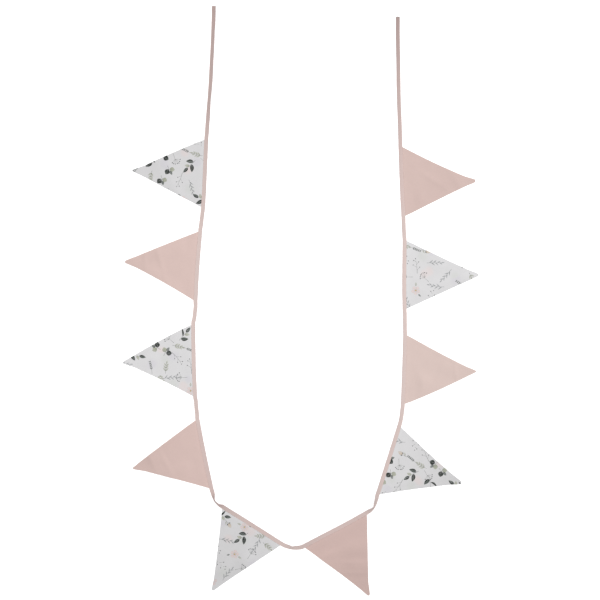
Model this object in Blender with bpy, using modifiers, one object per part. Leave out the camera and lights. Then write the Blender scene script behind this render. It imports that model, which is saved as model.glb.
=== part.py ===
"""Fabric bunting: ten turned cotton pennants in one long folded binding, laid out flat in a U.

Metres, +Z up, +Y towards the two free ties. The cloth lies on the plane z = 0 and the origin
is the middle of the layout on that plane. Every place is worked out along the binding, from
the end of the first tie round the U to the end of the last tie. The binding's fold is on the
inner side of the U, and its two open edges hold the pennants on the outer side.
"""
import math
from collections import namedtuple

import bmesh
import bpy
from mathutils import Vector

COLLECTION = "fabric_bunting"
MM = 0.001

# Cloth
BINDING_WIDTH = 9.2 * MM        # folded binding, from its fold to its open edges
BINDING_LEAF = 1.0 * MM         # one leaf of the folded binding
PENNANT_CLOTH = 1.0 * MM        # both layers of a turned pennant
SEAT_GAP = 0.3 * MM             # clearance between cloths that are sewn together
TUCK = 2.4 * MM                 # from the fold to a pennant's top edge inside the binding
TIP_RADIUS = 2.5 * MM           # blunt tip of a turned pennant
CLOSED_SLOT = SEAT_GAP
OPEN_SLOT = PENNANT_CLOTH + 2 * SEAT_GAP
SLOT_FADE = 12.0 * MM           # length in which the binding closes beside a pennant

# How a pennant comes down from the binding to the ground
EXIT = 0.4 * MM                 # straight stretch that leaves the binding
SETTLE_REACH = 25.0 * MM
SETTLE_TURN = 8.0 * MM
RIDGE_CLEAR = 30.0 * MM         # no ridge nearer than this to the binding's fold
RIDGE_RISE = 25.0 * MM
RIDGE_FOOT = 0.05               # share of a ridge's bell that is cut off, so the rest lies flat

# Layout: the fold-side corner of the first tie's end, then each run's length and heading
FIRST_END = Vector((-212.4, 735.8)) * MM
FIRST_TIE = 328.0 * MM
FIRST_TIE_HEADINGS = (-90.6, -93.2)
LAST_TIE = 323.5 * MM
LAST_TIE_HEADINGS = (89.8, 91.1)
LAST_TIE_LEAVE = 91.4

# Millimetres and degrees. gap and gap_heading lead from the pennant before to this one's corner,
# leave and arrive bend the bare binding between them, heading is the pennant's base, tip_share
# places the tip along it, and the bows are how far the two slanted edges swell outwards.
Pennant = namedtuple(
    "Pennant", "name cloth gap gap_heading leave arrive heading width drop tip_share bow_lead bow_trail")
PENNANTS = (
    Pennant("pennant_01", "printed", 0.0, 0.0, 0.0, -93.7, -92.8, 178.4, 184.1, 0.516, 2.1, -0.3),
    Pennant("pennant_02", "plain", 53.6, -98.0, -96.6, -98.7, -94.0, 178.6, 185.9, 0.507, 0.8, -3.6),
    Pennant("pennant_03", "printed", 52.6, -95.6, -86.1, -102.9, -88.7, 186.9, 181.2, 0.502, 2.9, -3.2),
    Pennant("pennant_04", "plain", 52.1, -83.8, -79.4, -87.8, -78.7, 181.2, 187.4, 0.496, 0.9, -1.6),
    Pennant("pennant_05", "printed", 47.2, -58.1, -71.9, -31.1, -31.9, 179.2, 194.3, 0.508, -1.4, -1.2),
    Pennant("pennant_06", "plain", 45.7, -6.8, -29.9, 21.8, 27.8, 183.0, 187.6, 0.486, -1.9, -0.8),
    Pennant("pennant_07", "printed", 47.0, 61.2, 27.2, 77.9, 72.6, 182.1, 194.1, 0.502, -2.3, -2.8),
    Pennant("pennant_08", "plain", 47.4, 79.9, 73.4, 83.0, 88.0, 181.0, 184.9, 0.503, 2.8, -2.4),
    Pennant("pennant_09", "printed", 58.5, 92.2, 92.8, 94.5, 89.8, 177.7, 191.3, 0.497, -0.2, -1.6),
    Pennant("pennant_10", "plain", 54.4, 93.1, 95.3, 91.0, 92.5, 179.8, 185.5, 0.458, -0.9, -3.3),
)

# How far each turned tip was poked out beyond the meeting of its straight edges, and aside along
# the base, in millimetres; it starts this far before that meeting and is whole this far before it
TIP_POKES = {
    "pennant_01": (4.3, -1.0),
    "pennant_02": (3.1, 0.5),
    "pennant_03": (3.7, 1.0),
    "pennant_04": (1.2, 1.2),
    "pennant_05": (3.7, -0.4),
    "pennant_06": (5.0, 1.0),
    "pennant_07": (5.0, -0.4),
    "pennant_08": (2.5, 0.9),
    "pennant_09": (1.2, 1.0),
    "pennant_10": (6.2, 0.5),
}
POKE_FROM = 30.0 * MM
POKE_WHOLE = 4.0 * MM

# Where the binding rolls up on its pennant-side edge: degrees at shares of a run's length.
# A run is named for the pennant that it leads to.
ROLLS = {
    "first_tie": ((0.0, 0.0), (0.1, 0.0), (0.2, 28.0), (0.42, 24.0), (0.55, 18.0), (0.72, 34.0), (0.92, 0.0)),
    "pennant_02": ((0.0, 0.0), (0.5, 9.0), (1.0, 0.0)),
    "pennant_03": ((0.0, 0.0), (0.4, 7.0), (1.0, 0.0)),
    "pennant_04": ((0.0, 0.0), (0.55, 12.0), (1.0, 0.0)),
    "pennant_05": ((0.0, 0.0), (0.08, 0.0), (0.6, 77.0), (0.8, 58.0), (1.0, 9.0)),
    "pennant_06": ((0.0, 0.0), (0.2, 0.0), (0.47, 42.0), (0.76, 0.0)),
    "pennant_07": ((0.0, 0.0), (0.4, 66.0), (0.62, 44.0), (0.8, 34.0), (0.95, 0.0)),
    "pennant_08": ((0.0, 0.0), (0.5, 10.0), (1.0, 0.0)),
    "pennant_09": ((0.0, 0.0), (0.45, 8.0), (1.0, 0.0)),
    "pennant_10": ((0.0, 0.0), (0.6, 8.0), (1.0, 0.0)),
    "last_tie": ((0.0, 0.0), (0.2, 16.0), (0.42, 20.0), (0.56, 6.0), (0.8, 0.0)),
}
# The corner roll in degrees that a pennant's own top edge still follows, and where it has died away
CARRIED_ROLL = {"pennant_05": (9.0, 16.0 * MM)}
NO_ROLL = (0.0, 1.0)

# Soft ridges in the pennants: the place as shares of width and drop, the turn from the
# base in degrees, and the height and half-width in millimetres
Ridge = namedtuple("Ridge", "pennant across down turn height reach")
RIDGES = (
    Ridge("pennant_01", 0.62, 0.42, 66.0, 1.6, 22.0),
    Ridge("pennant_01", 0.34, 0.66, -30.0, 1.2, 18.0),
    Ridge("pennant_02", 0.30, 0.38, 74.0, 2.2, 20.0),
    Ridge("pennant_02", 0.70, 0.55, -58.0, 1.8, 19.0),
    Ridge("pennant_03", 0.50, 0.62, 20.0, 1.4, 20.0),
    Ridge("pennant_03", 0.20, 0.35, 80.0, 1.2, 18.0),
    Ridge("pennant_04", 0.66, 0.40, 84.0, 2.0, 20.0),
    Ridge("pennant_04", 0.40, 0.70, -20.0, 1.5, 18.0),
    Ridge("pennant_05", 0.70, 0.46, 62.0, 1.5, 20.0),
    Ridge("pennant_05", 0.42, 0.74, -46.0, 1.2, 18.0),
    Ridge("pennant_06", 0.46, 0.36, -22.0, 2.4, 19.0),
    Ridge("pennant_06", 0.60, 0.66, -34.0, 1.9, 18.0),
    Ridge("pennant_07", 0.36, 0.44, 70.0, 1.5, 20.0),
    Ridge("pennant_07", 0.56, 0.76, 24.0, 1.1, 18.0),
    Ridge("pennant_08", 0.30, 0.40, -70.0, 2.2, 20.0),
    Ridge("pennant_08", 0.62, 0.60, 40.0, 1.7, 19.0),
    Ridge("pennant_09", 0.66, 0.50, -62.0, 1.6, 20.0),
    Ridge("pennant_09", 0.30, 0.34, 78.0, 1.2, 18.0),
    Ridge("pennant_10", 0.42, 0.44, 58.0, 2.1, 20.0),
    Ridge("pennant_10", 0.64, 0.70, -28.0, 1.6, 18.0),
)

# Mesh steps
GAP_STEPS = 9
TIE_STEP = 22.0 * MM
ARC_STEPS = 4                   # flat facets round the binding's fold
COLUMN_SHARES = (0.06, 0.14, 0.25, 0.375, 0.5, 0.625, 0.75, 0.86, 0.94)
EXTRA_COLUMNS = {"pennant_05": (8.0 * MM, 12.0 * MM, 16.0 * MM)}
UPPER_ROWS = (13.5 * MM, 19.0 * MM, 26.0 * MM)
LOWER_ROWS = 8                  # even rows from there to the tip

# Linear colours of the dyed binding and of the two cloths
BINDING_COLOUR = (0.62, 0.49, 0.45)
CLOTH_COLOURS = {"plain": (0.66, 0.52, 0.47), "printed": (0.71, 0.71, 0.72)}
CLOTH_ROUGHNESS = 0.9

Station = namedtuple("Station", "fold heading roll slot")


def along(heading):
    """Unit vector in plan along a heading in radians."""
    return Vector((math.cos(heading), math.sin(heading)))


def outward(heading):
    """Unit vector in plan from the fold towards the pennants."""
    return Vector((math.sin(heading), -math.cos(heading)))


def ease(share):
    """Smooth step from 0 to 1."""
    share = min(max(share, 0.0), 1.0)
    return share * share * (3.0 - 2.0 * share)


def knot_value(knots, share):
    """Value at a share of a run, eased from knot to knot."""
    for (start, low), (end, high) in zip(knots, knots[1:]):
        if share <= end:
            return low + (high - low) * ease((share - start) / (end - start))
    return knots[-1][1]


def smooth_run(start, end, start_heading, end_heading, share):
    """Point and heading on the smooth curve that joins two straight stretches."""
    reach = (end - start).length
    leave = along(start_heading) * reach
    arrive = along(end_heading) * reach
    t, t2, t3 = share, share ** 2, share ** 3
    point = (start * (2 * t3 - 3 * t2 + 1) + leave * (t3 - 2 * t2 + t)
             + end * (3 * t2 - 2 * t3) + arrive * (t3 - t2))
    slope = (start * (6 * t2 - 6 * t) + leave * (3 * t2 - 4 * t + 1)
             + end * (6 * t - 6 * t2) + arrive * (3 * t2 - 2 * t))
    return point, math.atan2(slope.y, slope.x)


def slot_beside(distance):
    """Space between the binding's leaves at a distance from the nearest pennant."""
    return OPEN_SLOT + (CLOSED_SLOT - OPEN_SLOT) * ease(distance / SLOT_FADE)


def bare_run(name, start, end, start_heading, end_heading, shares, open_start, open_end):
    """Stations of the binding where it holds no pennant; its open ends meet one."""
    length = (end - start).length
    stations = []
    for share in shares:
        point, heading = smooth_run(start, end, start_heading, end_heading, share)
        distance = SLOT_FADE
        if open_start:
            distance = min(distance, share * length)
        if open_end:
            distance = min(distance, (1.0 - share) * length)
        roll = math.radians(knot_value(ROLLS[name], share))
        stations.append(Station(point, heading, roll, slot_beside(distance)))
    return stations


def tie_shares(length, pennant_last):
    """Even steps along a tie, with two more where the binding closes beside the pennant."""
    steps = round(length / TIE_STEP)
    shares = [step / steps for step in range(steps + 1)]
    shares += [1.0 - SLOT_FADE / length, 1.0 - SLOT_FADE / 2 / length]
    shares.sort()
    if not pennant_last:
        shares = [1.0 - share for share in reversed(shares)]
    return shares


def carried_roll(pennant, distance):
    """Roll of a pennant's own stretch of the binding, in radians, straight from its corner."""
    degrees, reach = CARRIED_ROLL.get(pennant.name, NO_ROLL)
    return math.radians(degrees * max(0.0, 1.0 - distance / reach))


def column_places(pennant):
    """Distances along the base where a pennant and its stretch of binding share a line."""
    width = pennant.width * MM
    return sorted([share * width for share in COLUMN_SHARES] + list(EXTRA_COLUMNS.get(pennant.name, ())))


def lay_out():
    """The binding's stations in order, and each pennant's leading corner on the fold."""
    corners = {}
    corner = FIRST_END + along(math.radians(FIRST_TIE_HEADINGS[1])) * FIRST_TIE
    shares = tie_shares(FIRST_TIE, True)
    stations = bare_run("first_tie", FIRST_END, corner, math.radians(FIRST_TIE_HEADINGS[0]),
                        math.radians(PENNANTS[0].arrive), shares, False, True)
    heading = math.radians(PENNANTS[0].heading)
    for pennant in PENNANTS:
        if pennant.gap:
            start = corner
            corner = start + along(math.radians(pennant.gap_heading)) * pennant.gap * MM
            heading = math.radians(pennant.heading)
            shares = [step / GAP_STEPS for step in range(1, GAP_STEPS + 1)]
            stations += bare_run(pennant.name, start, corner, math.radians(pennant.leave),
                                 math.radians(pennant.arrive), shares, True, True)
        stations[-1] = stations[-1]._replace(heading=heading)
        corners[pennant.name] = corner
        width = pennant.width * MM
        for place in column_places(pennant) + [width]:
            roll = carried_roll(pennant, place)
            stations.append(Station(corner + along(heading) * place, heading, roll, OPEN_SLOT))
        corner = corner + along(heading) * width
    end = corner + along(math.radians(LAST_TIE_HEADINGS[1])) * LAST_TIE
    shares = tie_shares(LAST_TIE, False)[1:]
    stations += bare_run("last_tie", corner, end, math.radians(LAST_TIE_LEAVE),
                         math.radians(LAST_TIE_HEADINGS[0]), shares, True, False)
    return stations, corners


def edge_height(slot, roll):
    """Height of the binding's middle at its open edges, with its lower leaf on the ground."""
    return (slot / 2 + BINDING_LEAF) * math.cos(roll)


def binding_section(slot):
    """Middle line of the folded cloth: distance in from the open edges, and height from its middle."""
    radius = (slot + BINDING_LEAF) / 2
    bend = BINDING_WIDTH - BINDING_LEAF / 2 - radius
    points = [(0.0, radius)]
    for step in range(ARC_STEPS + 1):
        angle = math.pi / 2 - math.pi * step / ARC_STEPS
        points.append((bend + radius * math.cos(angle), radius * math.sin(angle)))
    points.append((0.0, -radius))
    return points


def binding_point(station, inward, height):
    """A point of the binding's section, rolled about its open edges."""
    out = outward(station.heading)
    edge = station.fold + out * BINDING_WIDTH
    level = inward * math.cos(station.roll) - height * math.sin(station.roll)
    plan = edge - out * level
    rise = inward * math.sin(station.roll) + height * math.cos(station.roll)
    return Vector((plan.x, plan.y, edge_height(station.slot, station.roll) + rise))


def ridge_height(pennant, across, down):
    """Height of a pennant's soft ridges above the ground at a place in its own plan."""
    width, drop = pennant.width * MM, pennant.drop * MM
    height = 0.0
    for ridge in RIDGES:
        if ridge.pennant != pennant.name:
            continue
        turn = math.radians(ridge.turn)
        offset = Vector((across - ridge.across * width, down - ridge.down * drop))
        distance = offset.dot(Vector((-math.sin(turn), math.cos(turn))))
        bell = math.exp(-(distance / (ridge.reach * MM)) ** 2)
        height += ridge.height * MM * max(0.0, bell - RIDGE_FOOT) / (1.0 - RIDGE_FOOT)
    return height * ease((down - RIDGE_CLEAR) / RIDGE_RISE)


def pennant_rows(pennant):
    """Distances of the mesh rows from the fold, and where the blunt tip's arc begins."""
    width, drop = pennant.width * MM, pennant.drop * MM
    half_angle = math.atan2(width / 2, drop)
    arc_start = drop - TIP_RADIUS * math.cos(half_angle) ** 2 / math.sin(half_angle)
    rows = [TUCK, BINDING_WIDTH + EXIT] + list(UPPER_ROWS)
    step = (arc_start - UPPER_ROWS[-1]) / LOWER_ROWS
    rows += [UPPER_ROWS[-1] + step * (index + 1) for index in range(LOWER_ROWS)]
    return rows, half_angle


def edge_places(pennant, down):
    """Where the two slanted edges cross a row, along the base; each bow swings about its straight edge."""
    width, drop = pennant.width * MM, pennant.drop * MM
    share = down / drop
    swell = 4 * share * (1 - share) - 2 / 3
    tip = pennant.tip_share * width
    lead = tip * share - pennant.bow_lead * MM * swell
    trail = width + (tip - width) * share + pennant.bow_trail * MM * swell
    return lead, trail


def pennant_grid(pennant):
    """Points of a pennant's middle surface, row by row, in its own plan of (across, down, height)."""
    rows, half_angle = pennant_rows(pennant)
    inner = column_places(pennant)
    lead, trail = edge_places(pennant, BINDING_WIDTH + EXIT)
    shares = [0.0] + [(place - lead) / (trail - lead) for place in inner] + [1.0]
    grid = []
    for down in rows:
        lead, trail = edge_places(pennant, down)
        if down <= BINDING_WIDTH + EXIT:
            places = [lead] + inner + [trail]
        else:
            places = [lead + share * (trail - lead) for share in shares]
        downs = [down] * len(places)
        if down == rows[-1]:
            places, downs = tip_arc(pennant, half_angle, lead, trail, shares)
        poked = [poked_place(pennant, across, depth) for across, depth in zip(places, downs)]
        grid.append([cloth_point(pennant, across, depth) for across, depth in poked])
    return grid


def poked_place(pennant, across, down):
    """A place in a pennant's plan, moved by how its tip was poked out."""
    before = pennant.drop * MM - down
    share = ease((POKE_FROM - before) / (POKE_FROM - POKE_WHOLE))
    reach, aside = TIP_POKES[pennant.name]
    return across + aside * MM * share, down + reach * MM * share


def tip_arc(pennant, half_angle, lead, trail, shares):
    """The last row of a pennant, bent round its blunt tip."""
    centre_across = (lead + trail) / 2
    centre_down = pennant.drop * MM - TIP_RADIUS / math.sin(half_angle)
    spread = math.pi / 2 - half_angle
    angles = [(2 * share - 1) * spread for share in shares]
    places = [centre_across + TIP_RADIUS * math.sin(angle) for angle in angles]
    downs = [centre_down + TIP_RADIUS * math.cos(angle) for angle in angles]
    return places, downs


def cloth_point(pennant, across, down):
    """A point of a pennant's middle surface: level in the binding, then down to the ground."""
    roll = carried_roll(pennant, max(across, 0.0))
    height = edge_height(OPEN_SLOT, roll)
    beyond = down - BINDING_WIDTH
    if beyond <= EXIT:
        return Vector((across, BINDING_WIDTH + beyond * math.cos(roll), height - beyond * math.sin(roll)))
    rest = PENNANT_CLOTH / 2
    lift = (height - rest) * (1.0 - ease(beyond / SETTLE_REACH))
    dip = math.tan(roll) * beyond * (1.0 - ease(beyond / SETTLE_TURN))
    return Vector((across, down, rest + max(0.0, lift - dip) + ridge_height(pennant, across, down)))


def cloth_material(name, colour):
    """A plain woven cotton."""
    material = bpy.data.materials.new(name)
    material.use_nodes = True
    shader = material.node_tree.nodes["Principled BSDF"]
    shader.inputs["Base Color"].default_value = (*colour, 1.0)
    shader.inputs["Roughness"].default_value = CLOTH_ROUGHNESS
    shader.inputs["Metallic"].default_value = 0.0
    return material


def sheet_object(name, grid, thickness, material, collection, parent):
    """A sheet of cloth: a flat grid bent to its middle surface and given its thickness."""
    row_steps = len(grid) - 1
    column_steps = len(grid[0]) - 1
    mesh = bpy.data.meshes.new(name)
    bm = bmesh.new()
    bmesh.ops.create_grid(bm, x_segments=column_steps, y_segments=row_steps, size=1.0)
    for vert in bm.verts:
        column = round((vert.co.x + 1) / 2 * column_steps)
        row = round((vert.co.y + 1) / 2 * row_steps)
        vert.co = grid[row][column]
    bm.to_mesh(mesh)
    bm.free()
    mesh.shade_smooth()
    mesh.materials.append(material)
    sheet = bpy.data.objects.new(name, mesh)
    collection.objects.link(sheet)
    sheet.parent = parent
    solidify = sheet.modifiers.new("cloth_thickness", "SOLIDIFY")
    solidify.thickness = thickness
    solidify.offset = 0.0
    solidify.use_even_offset = True
    return sheet


def make_binding(stations, collection, parent):
    """The whole binding, ties included: one long strip folded lengthwise over the pennants."""
    grid = [[binding_point(station, *place) for place in binding_section(station.slot)]
            for station in stations]
    material = cloth_material("binding", BINDING_COLOUR)
    return sheet_object("binding", grid, BINDING_LEAF, material, collection, parent)


def make_pennant(pennant, corner, collection, parent):
    """One pennant, modelled in its own plan and turned to its place on the binding."""
    grid = [[Vector((point.x, -point.y, point.z)) for point in row] for row in pennant_grid(pennant)]
    material = cloth_material(pennant.name, CLOTH_COLOURS[pennant.cloth])
    sheet = sheet_object(pennant.name, grid, PENNANT_CLOTH, material, collection, parent)
    sheet.location = (corner.x, corner.y, 0.0)
    sheet.rotation_euler = (0.0, 0.0, math.radians(pennant.heading))
    return sheet


def main():
    """Clear the scene and lay out the bunting."""
    for old in list(bpy.data.objects):
        bpy.data.objects.remove(old, do_unlink=True)
    collection = bpy.data.collections.new(COLLECTION)
    bpy.context.scene.collection.children.link(collection)
    layout = bpy.data.objects.new("layout", None)
    collection.objects.link(layout)
    stations, corners = lay_out()
    make_binding(stations, collection, layout)
    for pennant in PENNANTS:
        make_pennant(pennant, corners[pennant.name], collection, layout)


main()
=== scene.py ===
"""Looks of the fabric bunting: ten sewn cotton pennants in one stitched folded binding, laid in a U.

Metres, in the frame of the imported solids. Places along the cloth repeat the solids' own layout:
distances along the binding run from the end of the first tie round the U to the end of the last,
and a pennant's own plan is (across its base, down from the binding's fold).
"""

import math
from collections import namedtuple

import bpy
import numpy as np
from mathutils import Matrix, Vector, kdtree
from mathutils.geometry import delaunay_2d_cdt


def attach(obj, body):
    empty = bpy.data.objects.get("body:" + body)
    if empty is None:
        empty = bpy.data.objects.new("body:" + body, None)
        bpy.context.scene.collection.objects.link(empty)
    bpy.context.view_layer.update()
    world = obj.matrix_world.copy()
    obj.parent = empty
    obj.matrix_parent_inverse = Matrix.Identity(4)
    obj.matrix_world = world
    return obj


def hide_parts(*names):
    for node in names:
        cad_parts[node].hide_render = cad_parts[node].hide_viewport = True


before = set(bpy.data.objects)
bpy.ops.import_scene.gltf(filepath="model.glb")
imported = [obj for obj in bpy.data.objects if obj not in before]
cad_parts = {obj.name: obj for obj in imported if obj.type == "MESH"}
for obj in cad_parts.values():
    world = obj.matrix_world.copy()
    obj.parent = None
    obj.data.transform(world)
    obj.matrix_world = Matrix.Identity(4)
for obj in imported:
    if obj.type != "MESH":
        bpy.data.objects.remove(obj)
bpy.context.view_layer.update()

MM = 0.001

# ---- Layout, as in the solids

BINDING_WIDTH = 9.2 * MM
TUCK = 2.4 * MM
TIP_RADIUS = 2.5 * MM
SLOT_FADE = 12.0 * MM
FIRST_END = np.array((-212.3, 737.3)) * MM
FIRST_TIE = 329.5 * MM
FIRST_TIE_HEADINGS = (-90.6, -93.2)
LAST_TIE = 322.7 * MM
LAST_TIE_HEADINGS = (89.8, 91.1)
LAST_TIE_LEAVE = 91.4

Pennant = namedtuple(
    "Pennant", "name cloth gap gap_heading leave arrive heading width drop tip_share bow_lead bow_trail")
PENNANTS = (
    Pennant("pennant_01", "printed", 0.0, 0.0, 0.0, -93.7, -92.8, 178.4, 184.1, 0.516, 2.1, -0.3),
    Pennant("pennant_02", "plain", 53.6, -98.0, -96.6, -98.7, -94.0, 178.6, 185.9, 0.507, 0.8, -3.6),
    Pennant("pennant_03", "printed", 52.6, -95.6, -86.1, -102.9, -88.7, 186.9, 181.2, 0.502, 2.9, -3.2),
    Pennant("pennant_04", "plain", 52.1, -83.8, -79.4, -87.8, -78.7, 181.2, 187.4, 0.496, 0.9, -1.6),
    Pennant("pennant_05", "printed", 47.2, -58.1, -71.9, -31.1, -31.9, 179.2, 194.3, 0.508, -1.4, -1.2),
    Pennant("pennant_06", "plain", 45.7, -6.8, -29.9, 21.8, 27.8, 183.0, 187.6, 0.486, -1.9, -0.8),
    Pennant("pennant_07", "printed", 47.0, 61.2, 27.2, 77.9, 72.6, 182.1, 194.1, 0.502, -2.3, -2.8),
    Pennant("pennant_08", "plain", 47.4, 79.9, 73.4, 83.0, 88.0, 181.0, 184.9, 0.503, 2.8, -2.4),
    Pennant("pennant_09", "printed", 58.5, 92.2, 92.8, 94.5, 89.8, 177.7, 191.3, 0.497, -0.2, -1.6),
    Pennant("pennant_10", "plain", 54.4, 93.1, 95.3, 91.0, 92.5, 179.8, 185.5, 0.458, -0.9, -3.3),
)

# How far each tip was poked out beyond the meeting of its straight edges, and aside, in millimetres
TIP_POKES = {
    "pennant_01": (5.4, -1.0),
    "pennant_02": (3.1, 0.5),
    "pennant_03": (3.7, 1.0),
    "pennant_04": (1.8, 1.2),
    "pennant_05": (4.2, -0.4),
    "pennant_06": (5.5, 1.0),
    "pennant_07": (5.0, -0.4),
    "pennant_08": (3.6, 0.8),
    "pennant_09": (2.3, 1.0),
    "pennant_10": (6.7, 0.5),
}
POKE_FROM = 30.0 * MM
POKE_WHOLE = 4.0 * MM
# How far the worked seams let each pennant's two slanted edges out, in millimetres
LET_OUT = {
    "pennant_01": (0.55, 0.25), "pennant_02": (0.3, 0.15), "pennant_03": (0.6, 0.55), "pennant_04": (0.35, 0.2),
    "pennant_05": (0.0, 0.9), "pennant_06": (0.3, 0.75), "pennant_07": (0.8, 0.85), "pennant_08": (0.9, 0.8),
    "pennant_09": (0.75, 0.8), "pennant_10": (0.9, 0.4),
}

# Where the binding rolls up on its open edges: degrees at shares of a run
ROLLS = {
    "first_tie": ((0.0, 0.0), (0.1, 0.0), (0.2, 28.0), (0.42, 24.0), (0.55, 18.0), (0.72, 34.0), (0.92, 0.0)),
    "pennant_02": ((0.0, 0.0), (0.5, 9.0), (1.0, 0.0)),
    "pennant_03": ((0.0, 0.0), (0.4, 7.0), (1.0, 0.0)),
    "pennant_04": ((0.0, 0.0), (0.55, 12.0), (1.0, 0.0)),
    "pennant_05": ((0.0, 0.0), (0.08, 0.0), (0.6, 77.0), (0.8, 62.0), (0.92, 38.0), (1.0, 9.0)),
    "pennant_06": ((0.0, 0.0), (0.25, 0.0), (0.47, 34.0), (0.72, 0.0)),
    "pennant_07": ((0.0, 0.0), (0.4, 62.0), (0.62, 39.0), (0.8, 29.0), (0.95, 0.0)),
    "pennant_08": ((0.0, 0.0), (0.5, 10.0), (1.0, 0.0)),
    "pennant_09": ((0.0, 0.0), (0.45, 8.0), (1.0, 0.0)),
    "pennant_10": ((0.0, 0.0), (0.6, 8.0), (1.0, 0.0)),
    "last_tie": ((0.0, 0.0), (0.2, 12.0), (0.4, 18.0), (0.52, 0.0)),
}
CARRIED_ROLL = {"pennant_05": (9.0, 16.0 * MM)}
NO_ROLL = (0.0, 1.0)

# Soft ridges: place as shares of width and drop, turn in degrees, height and half-width in millimetres
RIDGES = {
    "pennant_01": ((0.62, 0.42, 66.0, 1.6, 22.0), (0.34, 0.66, -30.0, 1.2, 18.0)),
    "pennant_02": ((0.30, 0.38, 74.0, 2.2, 20.0), (0.70, 0.55, -58.0, 1.8, 19.0),
                   (0.40, 0.55, -20.0, 0.65, 7.0), (0.52, 0.73, -8.0, 0.5, 6.5)),
    "pennant_03": ((0.50, 0.62, 20.0, 1.4, 20.0), (0.20, 0.35, 80.0, 1.2, 18.0)),
    "pennant_04": ((0.66, 0.40, 84.0, 2.0, 20.0), (0.40, 0.70, -20.0, 1.5, 18.0),
                   (0.48, 0.56, -17.0, 0.6, 7.0), (0.50, 0.72, -14.0, 0.6, 6.5)),
    "pennant_05": ((0.70, 0.46, 62.0, 1.5, 20.0), (0.42, 0.74, -46.0, 1.2, 18.0)),
    "pennant_06": ((0.46, 0.34, 16.0, 2.4, 19.0), (0.58, 0.62, 26.0, 1.9, 18.0),
                   (0.42, 0.48, 27.0, 0.6, 6.5), (0.50, 0.68, 29.0, 0.55, 6.0)),
    "pennant_07": ((0.36, 0.44, 70.0, 1.5, 20.0), (0.56, 0.76, 24.0, 1.1, 18.0)),
    "pennant_08": ((0.30, 0.40, -70.0, 2.2, 20.0), (0.62, 0.60, 40.0, 1.7, 19.0),
                   (0.50, 0.52, 22.0, 0.6, 7.0), (0.50, 0.73, -8.0, 0.6, 6.0)),
    "pennant_09": ((0.66, 0.50, -62.0, 1.6, 20.0), (0.30, 0.34, 78.0, 1.2, 18.0)),
    "pennant_10": ((0.42, 0.44, 58.0, 2.1, 20.0), (0.64, 0.70, -28.0, 1.6, 18.0),
                   (0.46, 0.50, -54.0, 0.65, 7.5), (0.46, 0.76, -30.0, 0.35, 6.5)),
}

# ---- Cloth thicknesses and sewing

LEAF = 0.6 * MM                  # one leaf of the binding, its raw edge turned in
SLOT_OPEN = 1.25 * MM            # between the leaves over a pennant
SLOT_CLOSED = 0.14 * MM
SLOT_TURNED = 0.55 * MM          # over the turned-in end of a tie
END_TAB = 9.0 * MM               # length of that turned-in end
END_ROUND = 0.8 * MM
LAST_ROUND = 2.6 * MM            # corners of the last tie's end
BINDING_STEP = 2.0 * MM
CROWN = 0.14 * MM                # how far each leaf puffs up between stitching and fold
STITCH_IN = 1.4 * MM             # edge stitching, in from the open edges
STITCH_GROOVE = 0.08 * MM
GROOVE_WIDTH = 0.55 * MM
STITCH_PITCH = 2.8 * MM
STITCH_LENGTH = 2.45 * MM
THREAD_RADIUS = 0.15 * MM
GROUND = 0.03 * MM               # lowest any cloth comes

BODY_THICK = 0.45 * MM           # two layers of cotton
BAND_THICK = 0.35 * MM           # what the seam allowances add along the slanted edges
BAND_INNER = 6.0 * MM
BAND_OUTER = 8.4 * MM
ROLL_THICK = 0.12 * MM           # the turned edge itself
ROLL_AT = 1.1 * MM
ROLL_REACH = 0.9 * MM
RIM = 0.55 * MM                  # width of the rounded rim
SETTLE_REACH = 25.0 * MM
SETTLE_TURN = 8.0 * MM
RIDGE_CLEAR = 30.0 * MM
RIDGE_RISE = 25.0 * MM
RIDGE_FOOT = 0.05
RIDGE_SWELL = 14.0 * MM          # how quickly a ridge rises and falls along its length
LIGHT_SIDE = (0.75, 0.66)        # in plan, towards the side that the light favours
RIDGE_PAINTED_LIGHT = 0.3                 # how much lighter a crease's slope is painted on that side, and darker on the other
NEAR_PAINTED_LIGHT = 0.07                 # and how much lighter the cloth beside the binding's thick edge is painted
NEAR_REACH = 3.5 * MM

OUTLINE_STEP = 1.7 * MM
TOP_STEP = 3.0 * MM
GRID_STEP = 2.3 * MM
RINGS = (1.1, 1.9, 3.2, 4.7, 6.0, 7.2, 8.6)     # rows of points beside the rim, in millimetres
RIM_ANGLES = (62.0, 32.0, 0.0, -32.0, -62.0)


def along(heading):
    return np.stack((np.cos(heading), np.sin(heading)), axis=-1)


def outward(heading):
    return np.stack((np.sin(heading), -np.cos(heading)), axis=-1)


def ease(share):
    share = np.clip(share, 0.0, 1.0)
    return share * share * (3.0 - 2.0 * share)


def knot_value(knots, shares):
    """Values at shares of a run, eased from knot to knot."""
    places = np.array([knot[0] for knot in knots])
    values = np.array([knot[1] for knot in knots])
    index = np.clip(np.searchsorted(places, shares) - 1, 0, len(knots) - 2)
    local = (shares - places[index]) / (places[index + 1] - places[index])
    return values[index] + (values[index + 1] - values[index]) * ease(local)


def smooth_run(start, end, start_heading, end_heading, shares):
    """Points and headings on the smooth curve that joins two straight stretches."""
    reach = np.linalg.norm(end - start)
    leave, arrive = along(start_heading) * reach, along(end_heading) * reach
    t = shares[:, None]
    points = (start * (2 * t ** 3 - 3 * t ** 2 + 1) + leave * (t ** 3 - 2 * t ** 2 + t)
              + end * (3 * t ** 2 - 2 * t ** 3) + arrive * (t ** 3 - t ** 2))
    slope = (start * (6 * t ** 2 - 6 * t) + leave * (3 * t ** 2 - 4 * t + 1)
             + end * (6 * t - 6 * t ** 2) + arrive * (3 * t ** 2 - 2 * t))
    return points, np.arctan2(slope[:, 1], slope[:, 0])


def even_shares(length):
    return np.arange(round(length / BINDING_STEP)) / round(length / BINDING_STEP)


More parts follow.
